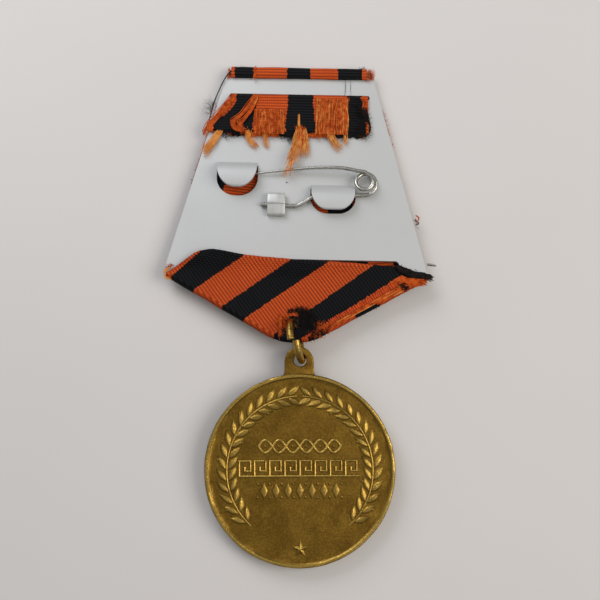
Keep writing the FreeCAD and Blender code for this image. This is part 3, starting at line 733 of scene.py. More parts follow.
def fuzz(rng, points, count, room, length, radius, heading=(0, 0, 0), sway=0.9):
    """Short curled ends that stand off a line, each starting within room of it."""
    lines = []
    for _ in range(count):
        place = rng.uniform(0, len(points) - 1.001)
        point = Vector(points[int(place)]).lerp(Vector(points[int(place) + 1]), place % 1)
        point += Vector((rng.gauss(0, room), rng.gauss(0, room), rng.uniform(0, 0.5) * room))
        floor = point.z - 0.15
        way = (Vector((rng.gauss(0, 1), rng.gauss(0, 1), rng.gauss(0, 0.3))).normalized() * 0.8
               + Vector(heading)).normalized()
        size, step = radius * rng.uniform(0.6, 1.2), length * rng.uniform(0.5, 1.3) / 5
        line = []
        for knot in range(6):
            line.append((point.copy(), size * (1 - 0.12 * knot)))
            way = (way + Vector((rng.gauss(0, 1), rng.gauss(0, 1), rng.gauss(0, 0.4))) * sway * 0.5
                   ).normalized()
            point = point + way * step
            point.z = max(point.z, floor)
        lines.append(line)
    return lines


# Bundles of threads: (colour, points, how many, room, radius).
BUNDLES = (
    # tufts pulled out below the tail
    ("pale", [(0, 42, 1.5), (0, 40, 1.6), (0.1, 38.4, 1.6)], 7, 0.10, 0.05),
    ("pale", [(0, 39, 1.5), (-0.3, 37.2, 1.5), (-0.8, 35, 1.8), (-1.4, 33, 2.3)], 46, 0.38, 0.045),
    ("pale", [(-0.9, 34.6, 1.8), (-1.3, 32.6, 2.4), (-1.9, 31.4, 2.3), (-2.3, 30.4, 1.5)],
     12, 0.22, 0.032),
    ("pale", [(-0.9, 34.4, 1.8), (-1.2, 32.6, 2.4), (-1.4, 31.4, 2.3), (-1.4, 30.7, 1.6)],
     6, 0.18, 0.032),
    ("pale", [(0.9, 39, 1.5), (1.1, 37, 1.4), (1.2, 34.6, 1.2)], 34, 0.28, 0.045),
    ("rust", [(0.4, 39.4, 1.5), (0.5, 37.8, 1.5), (0.3, 36.2, 1.4)], 26, 0.42, 0.05),
    ("pale", [(-9.2, 39, 1.4), (-8.6, 37.2, 1.3), (-7.4, 35.9, 1.1)], 22, 0.22, 0.045),
    ("pale", [(-6.3, 38.8, 1.4), (-6, 37.3, 1.3), (-5.8, 36, 1.1)], 16, 0.2, 0.045),
    ("pale", [(5.4, 39, 1.4), (6.1, 37.2, 1.3), (7.2, 35.8, 1.1)], 32, 0.3, 0.045),
    ("pale", [(8.2, 39, 1.4), (8.4, 37.9, 1.3), (8.2, 36.8, 1.1)], 12, 0.2, 0.045),
    ("pale", [(-14, 38.9, 1.2), (-15.2, 36.8, 1.2), (-16.6, 34.9, 1)], 40, 0.3, 0.055),
    # the selvage that has come away, and the strands over the black stripe
    ("rust", [(-11.9, 45.4, 1.2), (-13.4, 43, 1.5), (-14.9, 41.2, 1.5), (-16.2, 39.5, 1.3),
      (-16.9, 38.2, 0.9)], 22, 0.24, 0.09),
    ("rust", [(-8, 45.4, 1.3), (-9.1, 43.4, 1.7), (-10.4, 41.5, 1.8), (-11.9, 40.2, 1.75),
      (-11.2, 39, 1.7), (-9.7, 38.8, 1.6)], 26, 0.22, 0.07),
    ("rust", [(-7.7, 45.3, 1.3), (-8.5, 43, 1.6), (-9.6, 41.3, 1.7), (-10.6, 40, 1.65),
      (-10.3, 39.2, 1.6)], 20, 0.2, 0.07),
    ("pale", [(-7.7, 45.5, 1.3), (-7.9, 44.4, 1.5), (-8.6, 43.2, 1.6)], 6, 0.12, 0.06),
    ("rust", [(8.7, 45.5, 1.2), (8.3, 43.2, 1.4), (8.5, 41, 1.5), (8.3, 38.4, 1.4)], 10, 0.16, 0.06),
    ("rust", [(11.2, 45.7, 1.2), (11.7, 44.6, 1.3), (11.4, 43.3, 1.3)], 10, 0.16, 0.07),
    ("dark", [(11.5, 43.6, 1.25), (12.1, 41.3, 1.3), (12.2, 39.3, 1.2), (11.3, 38.2, 1.2)],
     44, 0.24, 0.055),
    ("dark", [(11.7, 41.9, 1.2), (12.5, 41, 1.1), (12.7, 39.4, 1), (12, 38.5, 1.1)], 5, 0.08, 0.035),
    # the long black thread from the top corner
    ("dark", [(-12.4, 50.6, 1), (-13.6, 48.9, 1.2), (-14.9, 45.9, 1), (-15.5, 44, 0.9),
      (-15.9, 42.2, 0.9), (-16.2, 40.9, 0.8)], 8, 0.07, 0.045),
    ("dark", [(8.2, 49.3, 1.2), (8.3, 47.4, 0.9), (8.1, 45.8, 1)], 1, 0.01, 0.035),
    ("dark", [(9.2, 49.3, 1.2), (9.2, 47.6, 0.9), (9.3, 46, 1)], 1, 0.01, 0.035),
    ("rust", [(-8.5, 48.7, 1.45), (-8.3, 49.8, 1.6), (-8.3, 51, 1.35)], 6, 0.25, 0.07),
    # the worn corner at the right
    ("rust", [(16.9, 11.3, 1.45), (18.3, 12.1, 1.5), (19.7, 11.8, 1.45), (21, 11.9, 1.35),
      (22.4, 11.9, 1.2)], 34, 0.27, 0.09),
    ("rust", [(18.3, 10.2, 1.2), (20.3, 11.2, 1.2), (22.4, 12.1, 1.1)], 44, 0.24, 0.075),
    ("dark", [(17.7, 14.3, 1.3), (18.9, 13.7, 1.45), (20.3, 13.2, 1.4), (21.7, 13, 1.3),
      (22.8, 12.9, 1.2), (23.4, 12.5, 1)], 46, 0.24, 0.08),
    ("dark", [(22.8, 15.1, 0.8), (23.5, 15, 0.9), (24.3, 14.9, 0.8)], 9, 0.1, 0.03),
    ("rust", [(21, 24, 0.3), (21.5, 23.5, 0.5), (21.3, 22.9, 0.4), (20.9, 23.1, 0.3)], 4, 0.08, 0.05),
    ("dark", [(20.8, 23.2, 0.3), (21.4, 22.6, 0.4), (21.1, 22.2, 0.3)], 4, 0.08, 0.05),
    # the loop at the left corner, and the strand beside the ring
    ("pale", [(-22, 13.4, 1.4), (-22.7, 12.9, 1.2), (-22.5, 12, 1), (-21.7, 11.75, 1.1),
      (-21.2, 11.9, 1.2)], 6, 0.1, 0.09),
    ("rust", [(-2.4, 5.4, 1.7), (-2.3, 3.8, 1.75), (-2.5, 2.4, 1.6), (-2.3, 1.6, 1.2)], 14, 0.16, 0.08),
)

# Curled ends: (colour, points, how many, room, length, radius, heading).
FUZZES = (
    ("dark", [(10.2, 44.8, 1.3), (10.8, 42, 1.35), (11.2, 40, 1.4), (10.7, 38.6, 1.4)],
     190, 0.55, 1, 0.035, (0, 0, 0)),
    ("dark", [(11.3, 43.4, 1.3), (11.9, 41.4, 1.3), (12.1, 39.4, 1.2), (11.6, 38.3, 1.2)],
     190, 0.32, 1, 0.035, (0.3, -0.1, 0)),
    ("dark", [(-15, 38.9, 1.2), (-12.7, 38, 1.2), (-10.8, 38.4, 1.3)],
     90, 0.22, 0.8, 0.045, (0, -0.5, 0)),
    ("dark", [(-3.3, 38.2, 1.3), (-1.8, 37.6, 1.2), (-0.3, 37.8, 1.3)],
     80, 0.2, 0.7, 0.045, (0, -0.4, 0)),
    ("dark", [(6.6, 38.2, 1.4), (7.4, 37.9, 1.4)], 34, 0.2, 0.6, 0.045, (0, 0, 0)),
    ("rust", [(-10.4, 38.4, 1.3), (-7, 38, 1.3), (-3.4, 37.9, 1.2)],
     90, 0.16, 0.6, 0.045, (0, -0.4, 0)),
    ("rust", [(0.8, 38.2, 1.3), (3.5, 38, 1.3), (6.3, 38.1, 1.3)], 80, 0.18, 0.7, 0.045, (0, -0.5, 0)),
    ("dark", [(-15.5, 44.2, 0.9), (-15.8, 42.8, 0.8), (-16.1, 41.4, 0.7)],
     60, 0.08, 2, 0.018, (-1.2, 0.7, 0)),
    ("rust", [(11.8, 50.5, 1.2), (13, 50.6, 0.9), (13.1, 49.7, 0.9), (12.2, 49.2, 1.2)],
     190, 0.26, 0.45, 0.05, (0, 0, 0)),
    ("dark", [(10.6, 51.2, 0.9), (12, 51.3, 0.8)], 30, 0.12, 0.5, 0.03, (0.3, 0.6, 0)),
    ("rust", [(-12.9, 50.8, 0.9), (-12.9, 48.9, 1)], 60, 0.14, 0.5, 0.05, (-0.3, 0, 0)),
    ("dark", [(-12.6, 51.1, 0.8), (-10, 51.1, 0.8)], 24, 0.08, 0.4, 0.03, (0, 0.8, 0)),
    # the worn corner at the right
    ("dark", [(17.8, 14.2, 1.4), (19.4, 13.4, 1.5), (21.7, 13, 1.4), (23.3, 12.5, 1.1)],
     230, 0.26, 0.55, 0.032, (0, 0, 0)),
    ("rust", [(17, 11.4, 1.5), (18.4, 12.1, 1.5), (20.4, 11.8, 1.4), (22.3, 11.9, 1.2)],
     110, 0.26, 0.6, 0.045, (0.3, 0, 0)),
    ("dark", [(17.9, 11.1, 1.6), (18.8, 10.6, 1.5), (19.6, 10.7, 1.4)], 60, 0.2, 0.6, 0.045, (0, 0, 0)),
    ("dark", [(10.6, 5.5, 1.2), (14.4, 7.4, 1.2)], 40, 0.08, 0.4, 0.03, (0.3, -0.6, 0)),
    ("rust", [(-22.3, 13.5, 1.3), (-21.4, 13.9, 1.4)], 40, 0.14, 0.5, 0.05, (-0.4, 0, 0)),
    # the worn patch beside the ring, and the ragged tip of the V
    ("dark", [(0.4, 6.4, 1.65), (1.35, 5.9, 1.75), (1.6, 4.6, 1.8), (1.5, 3.2, 1.6)],
     210, 0.22, 0.8, 0.045, (0.2, 0, 0)),
    ("dark", [(0.9, 5.6, 1.5), (1.1, 4.4, 1.5), (1, 3.2, 1.3)], 150, 0.2, 0.7, 0.05, (0.1, -0.2, 0)),
    ("dark", [(-1.2, 5.9, 1.6), (-0.6, 6.3, 1.6), (0.4, 6.4, 1.6)], 60, 0.12, 0.5, 0.045, (0, 0.2, 0)),
    ("rust", [(-0.9, 6, 1.7), (-1.5, 4.6, 1.75), (-1.5, 3.2, 1.65)],
     50, 0.2, 0.5, 0.05, (-0.3, -0.3, 0)),
    ("rust", [(0.9, 2.6, 1.2), (2.2, 1.9, 1), (3.6, 2.2, 1.2)], 60, 0.3, 0.8, 0.045, (0, -0.5, 0)),
    ("dark", [(1.2, 6.1, 1.65), (2.2, 5.8, 1.7), (3.1, 4.6, 1.7), (3.1, 3.2, 1.65), (2.9, 2.3, 1.5)],
     300, 0.42, 0.9, 0.042, (0, 0, 0)),
    ("dark", [(2, 2.2, 1.4), (3.2, 1.9, 1.3), (4.8, 2.7, 1.4), (5.7, 3.3, 1.4)],
     150, 0.3, 0.8, 0.042, (0, -0.2, 0)),
    ("rust", [(3.6, 4.4, 1.7), (4.6, 3.4, 1.6), (5.8, 3.6, 1.5)], 60, 0.25, 0.9, 0.06, (0.3, 0, 0)),
    ("rust", [(2.2, 2.6, 1.5), (3.3, 2.1, 1.4), (4.6, 2.6, 1.4)], 40, 0.3, 0.9, 0.055, (0, -0.3, 0)),
    ("rust", [(-2.6, 4.6, 1.7), (-2.3, 2.8, 1.6), (-1.9, 2, 1.3)], 60, 0.24, 0.6, 0.05, (0, -0.1, 0)),
    ("rust", [(-2.4, 1.8, 0.7), (0, 1.5, 0.3), (2.8, 1.8, 0.7)], 40, 0.1, 0.3, 0.05, (0, -0.6, 0)),
    ("dark", [(0.4, 1.5, 0.5), (2, 1.4, 0.6), (4.6, 2.3, 0.9)], 90, 0.16, 0.5, 0.042, (0, -0.8, 0)),
    # the wings' edges beyond the plate's sides
    ("rust", [(-17, 36, 0.1), (-16, 40, 0.1), (-15, 44, 0.1)], 60, 0.05, 0.7, 0.04, (-0.2, 0.8, 0)),
    ("dark", [(-18.9, 29, 0.1), (-17.6, 34, 0.1)], 26, 0.05, 0.5, 0.03, (-0.3, 0.6, 0)),
    ("rust", [(17, 36.5, 0.1), (15, 44, 0.1)], 46, 0.05, 0.6, 0.035, (0.2, 0.6, 0)),
    ("dark", [(21.3, 21.5, 0.1), (20.8, 23.5, 0.1)], 14, 0.06, 0.6, 0.03, (0.6, 0, 0)),
)

BEAD_LINE = [(5.9, 4.6, 1.6), (7.66, 5.6, 1.62), (9.8, 6.65, 1.62), (12.2, 8.0, 1.62),
             (14.3, 9.3, 1.62), (16.3, 10.7, 1.62), (17.2, 11.6, 1.6)]


def add_frays(colours):
    """All the loose threads, as one piece for each colour."""
    rng = random.Random(11)
    lines = {name: [] for name in colours}
    for name, points, count, room, radius in BUNDLES:
        flare = 0.6 if name == "pale" else 0.0
        lines[name] += laid(rng, points, count, room, radius, flare=flare)
    for name, points, count, room, length, radius, heading in FUZZES:
        lines[name] += fuzz(rng, points, count, room, length, radius, heading)
    # loose warp that hangs over the tail's orange stripes
    hanging = ((3.0, 8.7, 45.2, 38.3, 130), (-8.0, -2.6, 43.0, 38.2, 110))
    for low, high, start, end, count in hanging:
        for _ in range(count):
            x = rng.uniform(low, high)
            knots = [(x + rng.gauss(0, 0.12), start + (end - start) * step / 4,
                      1.34 + 0.07 * step + rng.uniform(0, 0.08)) for step in range(5)]
            name = "rust" if rng.random() < 0.86 else "pale"
            lines[name] += laid(rng, knots, 1, 0.03, 0.042, 0.2)
    # threads that float along the V's right edge, where the lower run is worn through
    for _ in range(230):
        start = rng.uniform(0, 0.9)
        end, share = min(1.0, start + rng.uniform(0.12, 0.4)), rng.uniform(0, 1) ** 0.9
        if share < 0.3 and start < 0.56 and end > 0.36:
            continue
        knots = []
        for step in range(4):
            at = start + (end - start) * step / 3
            low = Vector((5.9, 3.15, 1.15)).lerp(Vector((20.2, 10.9, 1.2)), at)
            high = Vector((6.3, 4.4, 1.42)).lerp(Vector((17.6, 11.4, 1.42)), at)
            knots.append(low.lerp(high, share))
        lines["pale" if rng.random() < 0.12 else "rust"] += laid(rng, knots, 1, 0.05, 0.07)
    # the top run's selvage is a row of beads, one to a rib
    line = smooth_path(BEAD_LINE)
    for point in points_at(line, spread(line, 34)[0]):
        across = Vector((0.2, -0.27, 0.0)) * rng.uniform(0.8, 1.2)
        lines["bead"].append([(point - across, 0.06), (point - across * 0.5, 0.12), (point, 0.14),
                              (point + across * 0.5, 0.11), (point + across, 0.05)])
    lines["dark"].append([(Vector((-2.0, 29.5, 0.9)), 0.09), (Vector((-1.85, 29.4, 0.92)), 0.06)])
    pieces = {}
    for name, material in colours.items():
        piece = wires(f"{name}_threads", lines[name], MOUNT, resolution=1)
        pieces[name] = finish_piece(piece, material, "mount")
    return pieces


# ---------------------------------------------------------------- mount plate, pin and catch

# Where the tongues bend up from the plate, and how much longer than the frame's they are drawn.
LEFT_BEND, RIGHT_BEND, TONGUE_REACH = 30.9, 26.8, 1.2


def add_plate(material):
    """The stamped plate with its two tongues; every punched edge is slightly rolled over."""
    mesh = frame["nodes"]["mount_plate"].data.copy()
    plate = linked("stamped_plate", mesh)
    # the tongues reach a little further over their windows
    back = (Matrix.Scale(MM, 4) @ MOUNT).inverted()
    for vertex in mesh.vertices:
        spot = back @ vertex.co
        bend = LEFT_BEND if spot.x < 0 else RIGHT_BEND
        if spot.z > PLATE_BACK + 0.02 and spot.y < bend:
            spot.y = bend - (bend - spot.y) * TONGUE_REACH
            vertex.co = MOUNT @ spot * MM
    select_only(plate)
    bpy.ops.object.mode_set(mode="EDIT")
    bpy.ops.mesh.select_all(action="SELECT")
    bpy.ops.mesh.remove_doubles(threshold=0.001 * MM)
    bpy.ops.mesh.dissolve_limited(angle_limit=math.radians(1))
    bpy.ops.object.mode_set(mode="OBJECT")
    apply_modifier(plate, "BEVEL", width=0.1 * MM, segments=2, limit_method="ANGLE",
                   angle_limit=math.radians(35), use_clamp_overlap=True, harden_normals=False)
    finish_piece(plate, material, "mount", 50)
    apply_modifier(plate, "WEIGHTED_NORMAL", mode="FACE_AREA", weight=100, keep_sharp=True)
    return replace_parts(plate, "mount_plate")


# The middle height of the pin's arm, and the radius of its wire.
PIN_Z, PIN_WIRE = 1.28, 0.35


def add_pin(material):
    """One wire: the arm through the catch, the coil, and the needle that swings from it."""
    arm = [(-6.45, 25.2, PIN_Z), (-3.9, 25.15, PIN_Z), (-1.0, 25.0, PIN_Z), (-0.1, 25.05, PIN_Z),
           (0.5, 25.35, PIN_Z), (1.9, 26.25, PIN_Z), (2.6, 26.62, PIN_Z), (3.6, 26.85, PIN_Z),
           (6.5, 26.95, PIN_Z), (9.0, 27.0, PIN_Z), (10.3, 27.12, PIN_Z)]
    # half a wide turn, then one close turn that lies on top of it
    for step in range(-75, 76, 15):
        angle = math.radians(step)
        arm.append((11.95 + 1.9 * math.cos(angle), 29.18 + 1.9 * math.sin(angle),
                    PIN_Z + 0.35 * (step + 75) / 150))
    for step in range(105, 433, 15):
        angle = math.radians(step)
        radius = 1.45 + 0.2 * (1 - smooth_step((step - 90) / 60))
        arm.append((11.72 + radius * math.cos(angle), 29.3 + radius * math.sin(angle),
                    1.68 + 0.85 * smooth_step((step - 80) / 200)))
    line = smooth_path(arm, 5)
    top = line[-1]
    piece = wires("pin_wire", [[(point, PIN_WIRE) for point in line]], MOUNT, resolution=5)
    face_outwards(piece)
    finish_piece(piece, material, "mount")
    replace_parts(piece, "pin_fixed_arm", "pin_coil")
    ahead = (top - line[-4]).normalized()
    # the needle's root runs back inside the coil's last turn, so that no gap opens as it swings
    root = [(point, PIN_WIRE - 0.005) for point in line[-7:-1]]
    shaft = [top, top + ahead * 0.9, (10.2, 31.33, 2.5), (8.4, 31.7, 2.42),
             (6.4, 31.86, 2.3), (3.2, 31.88, 2.0), (0.2, 31.7, 1.78), (-3.2, 31.33, 1.55),
             (-6.6, 30.93, 1.35), (-9.3, 30.65, 1.25)]
    radii = [(0, PIN_WIRE), (0.5, 0.31), (0.8, 0.2), (0.95, 0.14), (1.0, 0.05)]
    line = smooth_path(shaft, 8)
    taper = [(point, table_value(radii, number / (len(line) - 1)))
             for number, point in enumerate(line)]
    needle = wires("pin_needle_wire", [root + taper], MOUNT, resolution=5)
    face_outwards(needle)
    finish_piece(needle, material, "needle")
    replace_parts(needle, "pin_needle")


def add_catch(material):
    """A strip of sheet folded over the wire, its upper edge rolled."""
    side = [(23.3, 0.98), (23.3, 1.4), (23.5, 1.66), (24.3, 1.84), (25.1, 1.98), (25.35, 2.14),
            (26.0, 2.12), (26.8, 1.98), (27.1, 1.65), (27.12, 1.2)]
    profile = smooth_path([(0, y, z) for y, z in side], 4)
    rows = len(profile)
    select_only()
    bpy.ops.mesh.primitive_grid_add(x_subdivisions=6, y_subdivisions=rows - 1, size=1)
    catch = bpy.context.active_object
    catch.name = catch.data.name = "folded_catch"
    for vertex in catch.data.vertices:
        x, y = vertex.co.x, vertex.co.y
        point = profile[round((y + 0.5) * (rows - 1))]
        vertex.co = (-3.68 + 3.1 * x, point.y, point.z + 0.05 * math.cos(TURN * x))
    apply_modifier(catch, "SOLIDIFY", thickness=0.26, offset=0.0)
    apply_modifier(catch, "BEVEL", width=0.06, segments=2, limit_method="ANGLE",
                   angle_limit=math.radians(50))
    seat(catch, MOUNT)
    face_outwards(catch)
    finish_piece(catch, material, "mount", 40)
    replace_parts(catch, "pin_catch")


# ---------------------------------------------------------------- ring and medal

RING_RADIUS, RING_WIRE = 3.4, 0.6
RING_TURN, RING_LEAN = math.radians(12), math.radians(9)


def add_ring(material):
    """A sprung ring of brass wire whose cut ends have slipped past each other."""
    hinge = next(joint for joint in frame["joints"] if joint["name"] == "medal_swing")
    middle = Vector(hinge["pos_m"]) / MM
    along = Matrix.Rotation(RING_TURN, 3, "Z") @ Vector((0, -1, 0))
    rise = Matrix.Rotation(RING_LEAN, 3, along) @ Vector((0, 0, 1))
    normal = along.cross(rise)
    line, steps, gap = [], 96, math.radians(3)
    for step in range(steps + 1):
        share = step / steps
        up, out = polar(RING_RADIUS, gap + share * (TURN - 2 * gap))
        slip = 0.42 * (2 * share - 1)
        line.append((middle + rise * up + along * out + normal * slip, RING_WIRE))
    ring = wires("split_ring", [line], Matrix.Identity(4), resolution=7)
    face_outwards(ring)
    apply_modifier(ring, "BEVEL", width=0.08 * MM, segments=2, limit_method="ANGLE",
                   angle_limit=math.radians(60))
    finish_piece(ring, material, "ring", 60)
    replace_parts(ring, "suspension_ring")


def flat_shape(name, outlines, thickness, edge):
    """A plate cut to its outlines, with rounded edges, centred on z = 0."""
    curve = bpy.data.curves.new(name, "CURVE")
    curve.dimensions = "2D"
    curve.fill_mode = "BOTH"
    curve.extrude = thickness / 2 - edge
    curve.bevel_depth = edge
    curve.bevel_resolution = 2
    curve.offset = -edge
    for outline in outlines:
        spline = curve.splines.new("POLY")
        spline.points.add(len(outline) - 1)
        for knot, (x, y) in zip(spline.points, outline):
            knot.co = (x, y, 0, 1)
        spline.use_cyclic_u = True
    piece = linked(name, curve)
    select_only(piece)
    bpy.ops.object.convert(target="MESH")
    face_outwards(piece, merge=0.001)
    return piece


def crowned(outline, base, height, slope, crown):
    """A struck figure: its sides slope up from the field, and its top rises to a ridge."""
    select_only()
    bpy.ops.mesh.primitive_circle_add(vertices=len(outline), radius=1, fill_type="NGON")
    figure = bpy.context.active_object
    for vertex, (x, y) in zip(figure.data.vertices, outline):
        vertex.co = (x, y, base)
    bpy.ops.object.mode_set(mode="EDIT")
    bpy.ops.mesh.select_all(action="SELECT")
    bpy.ops.mesh.extrude_region_move(TRANSFORM_OT_translate={"value": (0, 0, height * 0.5)})
    bpy.ops.mesh.inset(thickness=slope, depth=height * 0.5)
    bpy.ops.mesh.inset(thickness=slope, depth=crown)
    bpy.ops.mesh.select_all(action="SELECT")
    bpy.ops.mesh.normals_make_consistent(inside=False)
    bpy.ops.object.mode_set(mode="OBJECT")
    return figure


def copy_to(figure, place):
    copied = linked(figure.name, figure.data.copy())
    copied.data.transform(place)
    return copied


def copies(figure, spots):
    return [copy_to(figure, Matrix.Translation((x, y, 0))) for x, y in spots]


def star_outline(radius, inner):
    return [polar(inner if number % 2 else radius, math.pi / 2 - number * math.pi / 5)
            for number in range(10)]


def star(base, radius, height):
    """A five-pointed star whose points fold along their middles up to its centre."""
    select_only()
    bpy.ops.mesh.primitive_cone_add(vertices=10, radius1=1, radius2=0, depth=1,
                                    end_fill_type="NGON")
    figure = bpy.context.active_object
    outline = star_outline(radius, radius * 0.45)
    rim = sorted((vertex for vertex in figure.data.vertices if vertex.co.z < 0),
                 key=lambda vertex: math.atan2(vertex.co.x, vertex.co.y) % TURN)
    for vertex, (x, y) in zip(rim, outline):
        vertex.co = (x, y, base)
    apex = next(vertex for vertex in figure.data.vertices if vertex not in rim)
    apex.co = (0, 0, base + height)
    return figure


# The medal's radius, the radius of the wreath's stem, and the field's height above the middle of
# the disc.
DISC_RADIUS, BAND, FIELD = 16.0, 12.2, 1.05


def wreath(template, berry):
    """Two laurel branches that climb from beside the small star and meet at the top."""
    leaves = []
    for side in (-1, 1):
        for number in range(15):
            angle = math.radians(-90 + side * (50 + number * 8.9))
            for hand in (-1, 0, 1):
                tilt = math.radians(34) * hand
                x, y = polar(BAND + hand * 0.72, angle)
                heading = angle + side * (math.pi / 2 - tilt)
                size = 1.08 if hand else 0.8
                place = (Matrix.Translation((x, y, 0)) @ Matrix.Rotation(heading, 4, "Z")
                         @ Matrix.Diagonal((size, size, 1, 1)))
                if hand:
                    leaves.append(copy_to(template, place))
                elif number % 2:
                    where = (BAND + 1.55) if number % 4 == 1 else (BAND - 1.5)
                    leaves += copies(berry, [polar(where, angle + side * 0.05)])
    return leaves


def arc_line(radius, start, end, height, thick):
    steps = 60
    return [(Vector((*polar(radius, start + (end - start) * step / steps), height)), thick)
            for step in range(steps + 1)]


def key_pattern(left, count, unit, low, high):
    """The lines of a running key border: one long foot and a hook for every unit."""
    tall = high - low
    rows = [[(left, low), (left + count * unit, low)]]
    for number in range(count):
        x = left + number * unit
        near, far = x + 0.36 * unit, x + 0.74 * unit
        rows.append([(x, low), (x, high), (far, high), (far, low + 0.34 * tall),
                     (near, low + 0.34 * tall), (near, low + 0.62 * tall)])
    return rows


def add_medal(material):
    """The struck disc with its rim, tab, wreath, rows of ornament and small star."""
    select_only()
    bpy.ops.mesh.primitive_cylinder_add(vertices=144, radius=DISC_RADIUS, depth=1.9)
    disc = bpy.context.active_object
    for face in disc.data.polygons:
        face.select = abs(face.normal.z) > 0.5
    select_mode = bpy.context.tool_settings.mesh_select_mode
    select_mode[:] = (False, False, True)
    bpy.ops.object.mode_set(mode="EDIT")
    # up and over the rim, down to the field, and a shallow dish to the middle
    for inwards, up in ((0.05, 0.21), (0.15, 0.13), (0.2, 0.03), (0.18, -0.04), (0.12, -0.12),
                        (0.15, -0.1), (0.55, -0.01), (7.6, -0.02)):
        bpy.ops.mesh.inset(thickness=inwards, depth=up)
    bpy.ops.mesh.poke(offset=-0.01)
    bpy.ops.object.mode_set(mode="OBJECT")
    select_mode[:] = (True, False, False)
    for vertex in disc.data.vertices:
        radius = vertex.co.xy.length
        if radius > 14.7:
            wear = 0.05 * noise.noise(vertex.co * 0.45)
            vertex.co.xy *= 1 + wear / DISC_RADIUS
            vertex.co.z += math.copysign(0.03 * noise.noise(vertex.co * 0.8 + Vector((7, 0, 0))),
                                         vertex.co.z)
    # tab with its eye
    half, eye_y = 2.5, 18.29
    outline = [(half + 0.55, 15.2), (half + 0.15, 15.75), (half, 16.5)]
    outline += [(half * math.cos(math.radians(turn)), 17.9 + 2.7 * math.sin(math.radians(turn)))
                for turn in range(0, 181, 10)]
    outline += [(-half, 16.5), (-half - 0.15, 15.75), (-half - 0.55, 15.2)]
    hole = [(0.15 + x, eye_y + y) for x, y in circle(1.08, 40)]
    tab = flat_shape("tab", [outline, hole], 1.56, 0.2)
    ridge = wires("ridge", [[((-2.75, 15.62, 0.86), 0.24), ((2.7, 15.66, 0.86), 0.24)]],
                  Matrix.Scale(1 / MM, 4), resolution=3)
    # figures on both faces
    leaf_outline = [(-0.25, 0), (0.2, -0.3), (0.8, -0.5), (1.5, -0.45), (2.1, -0.2), (2.45, 0),
                    (2.1, 0.2), (1.5, 0.45), (0.8, 0.5), (0.2, 0.3)]
    leaf = crowned([(x - 0.8, y) for x, y in leaf_outline], FIELD - 0.12, 0.24, 0.13, 0.07)
    berry = crowned(circle(0.3, 10), FIELD - 0.12, 0.2, 0.08, 0.06)
    figures = wreath(leaf, berry)
    small = star(FIELD - 0.05, 1.65, 0.42)
    figures += copies(small, [(0, -12.9)])
    lozenge = crowned([(0.75, 0), (0, 1.5), (-0.75, 0), (0, -1.5)], FIELD - 0.12, 0.24, 0.14, 0.06)
    figures += copies(lozenge, [(2 * number - 6, -3.4) for number in range(7)])
    figures += copies(berry, [(2 * number - 7, y) for number in range(8) for y in (-2.3, -4.5)])
    figures += copies(berry, [(2.3 * number - 5.75, 3.9) for number in range(6)])
    lines = []
    for side in (-1, 1):
        start, end = math.radians(-90 + side * 42), math.radians(-90 + side * 178)
        lines.append(arc_line(BAND, start, end, FIELD + 0.02, 0.17))
        lines.append([(Vector((x / 10, 3.9 + side * 1.05 * math.cos((x / 10 + 5.75) * math.pi / 2.3),
                               FIELD + 0.03)), 0.24) for x in range(-69, 70)])
    for row in key_pattern(-10.1, 8, 2.53, -1.0, 1.5):
        lines.append([(Vector((x, y, FIELD + 0.03)), 0.23) for x, y in row])
    relief = wires("relief", lines, Matrix.Scale(1 / MM, 4), resolution=2)
    figures.append(relief)
    back = join("back_figures", figures)
    # the face: a large star in a beaded ring, with a wreath of the same leaves
    faces = wreath(leaf, berry)
    big = crowned(star_outline(8.6, 3.5)[::-1], FIELD - 0.12, 0.28, 0.3, 0.06)
    faces += copies(big, [(0, 0)])
    faces += copies(berry, circle(9.9, 60))
    front = join("front_figures", faces)
    front.data.transform(Matrix.Rotation(math.pi, 4, "Y"))
    for spare in (leaf, berry, small, lozenge, big):
        bpy.data.objects.remove(spare)
    medal = join("struck_medal", [disc, tab, ridge, back, front])
    seat(medal, MEDAL)
    finish_piece(medal, material, "medal", 32)
    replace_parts(medal, "medal")


# ---------------------------------------------------------------- stage

# Where the camera stands in millimetres, how it is tipped and turned in degrees, and its lens.
CAMERA_SPOT, CAMERA_TILT, CAMERA_TURN = (1.277, -20.698, 141.718), 8.828, 1.167
CAMERA_LENS = 48.8316


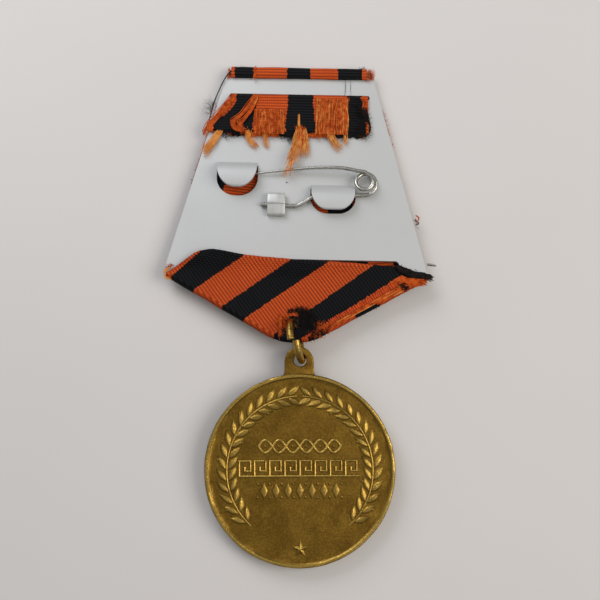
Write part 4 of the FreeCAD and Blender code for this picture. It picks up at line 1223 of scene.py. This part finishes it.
def add_stage():
    select_only()
    bpy.ops.mesh.primitive_plane_add(size=1.6)
    floor = bpy.context.active_object
    floor.name = "floor"
    floor.data.materials.append(paper_floor())
    scene = bpy.context.scene
    world = bpy.data.worlds.new("Soft daylight")
    scene.world = world
    world.use_nodes = True
    # brighter overhead than at the horizon, as in a room with a pale ceiling
    world.node_tree.nodes.clear()
    add = functools.partial(add_node, world.node_tree)
    way = add(SPLIT, {0: add(PLACE).outputs["Generated"]}).outputs["Z"]
    sky = tinted(add, linear("#6E6E70"), [(way, 0.05, 0.85, 1, "#F4F5F7")])
    light = add("ShaderNodeBackground", {"Color": sky, "Strength": 0.5})
    add("ShaderNodeOutputWorld", {"Surface": light})
    # each lamp's name, place, width, power and colour
    lamps = (
        ("window", (0.32, -0.02, 0.31), 0.28, 1.06, "#FFF9F2"),
        ("bounce", (-0.12, 0.18, 0.16), 0.16, 0.34, "#F5F7FF"),
    )
    for name, spot, width, power, colour in lamps:
        bpy.ops.object.light_add(type="AREA", location=spot)
        lamp = bpy.context.active_object
        lamp.name = name
        lamp.data.shape = "SQUARE"
        lamp.data.size = width
        lamp.data.energy = power
        lamp.data.color = linear(colour)[:3]
        lamp.rotation_euler = (-Vector(spot)).to_track_quat("-Z", "Y").to_euler()
    bpy.ops.object.camera_add(location=Vector(CAMERA_SPOT) * MM)
    camera = bpy.context.active_object
    camera.rotation_euler = (math.radians(CAMERA_TILT), 0, math.radians(CAMERA_TURN))
    camera.data.sensor_width = 36
    camera.data.lens = CAMERA_LENS
    camera.data.clip_start, camera.data.clip_end = 0.005, 10
    scene.camera = camera
    scene.view_settings.view_transform = "Standard"


# ---------------------------------------------------------------- operators

class AddStage(bpy.types.Operator):
    """Add the floor, the soft lamps and the camera"""
    bl_idname = "service_medal.stage"
    bl_label = "Stage"

    def execute(self, context):
        add_stage()
        return {"FINISHED"}


class AddPlate(bpy.types.Operator):
    """Add the stamped plate"""
    bl_idname = "service_medal.plate"
    bl_label = "Mount plate"

    def execute(self, context):
        add_plate(white_metal(context.scene.medal_metals))
        return {"FINISHED"}


class AddRibbon(bpy.types.Operator):
    """Add the folded ribbon with its loose threads"""
    bl_idname = "service_medal.ribbon"
    bl_label = "Ribbon"

    def execute(self, context):
        ribbon = context.scene.medal_ribbon
        strip, left, right = add_ribbon(ribbon, ribbed_silk(ribbon))
        threads = add_frays({
            "rust": silk_thread("Orange silk thread", "#CF5E20", "#9C3A0E"),
            "pale": silk_thread("Faded silk thread", "#E6A257", "#CF7A2E"),
            "bead": silk_thread("Selvage silk", "#DC5A2A", "#B23A12"),
            "dark": silk_thread("Black silk thread", "#101011", "#241C18")})
        return {"FINISHED"}


class AddPin(bpy.types.Operator):
    """Add the pin's wire and its catch"""
    bl_idname = "service_medal.pin"
    bl_label = "Pin"

    def execute(self, context):
        add_pin(drawn_steel(context.scene.medal_metals))
        add_catch(brushed_sheet())
        return {"FINISHED"}


class AddMedal(bpy.types.Operator):
    """Add the split ring and the struck medal"""
    bl_idname = "service_medal.medal"
    bl_label = "Ring and medal"

    def execute(self, context):
        metals = context.scene.medal_metals
        add_ring(worn_brass(metals, "Worn brass wire", 1.0))
        add_medal(worn_brass(metals, "Struck brass"))
        return {"FINISHED"}


OPERATORS = (AddStage, AddPlate, AddRibbon, AddPin, AddMedal)


class MedalPanel(bpy.types.Panel):
    bl_idname = "VIEW3D_PT_service_medal"
    bl_label = "Service medal"
    bl_space_type = "VIEW_3D"
    bl_region_type = "UI"
    bl_category = "Medal"

    def draw(self, context):
        for group in (context.scene.medal_ribbon, context.scene.medal_metals):
            for name in group.__annotations__:
                self.layout.prop(group, name)
        for operator in OPERATORS:
            self.layout.operator(operator.bl_idname)


CLASSES = (RibbonProperties, MetalProperties, *OPERATORS, MedalPanel)


def register():
    for item in CLASSES:
        bpy.utils.register_class(item)
    bpy.types.Scene.medal_ribbon = bpy.props.PointerProperty(type=RibbonProperties)
    bpy.types.Scene.medal_metals = bpy.props.PointerProperty(type=MetalProperties)


def unregister():
    del bpy.types.Scene.medal_metals
    del bpy.types.Scene.medal_ribbon
    for item in reversed(CLASSES):
        bpy.utils.unregister_class(item)


def main():
    register()
    bpy.ops.service_medal.stage()
    bpy.ops.service_medal.plate()
    bpy.ops.service_medal.ribbon()
    bpy.ops.service_medal.pin()
    bpy.ops.service_medal.medal()


if __name__ == "__main__":
    main()
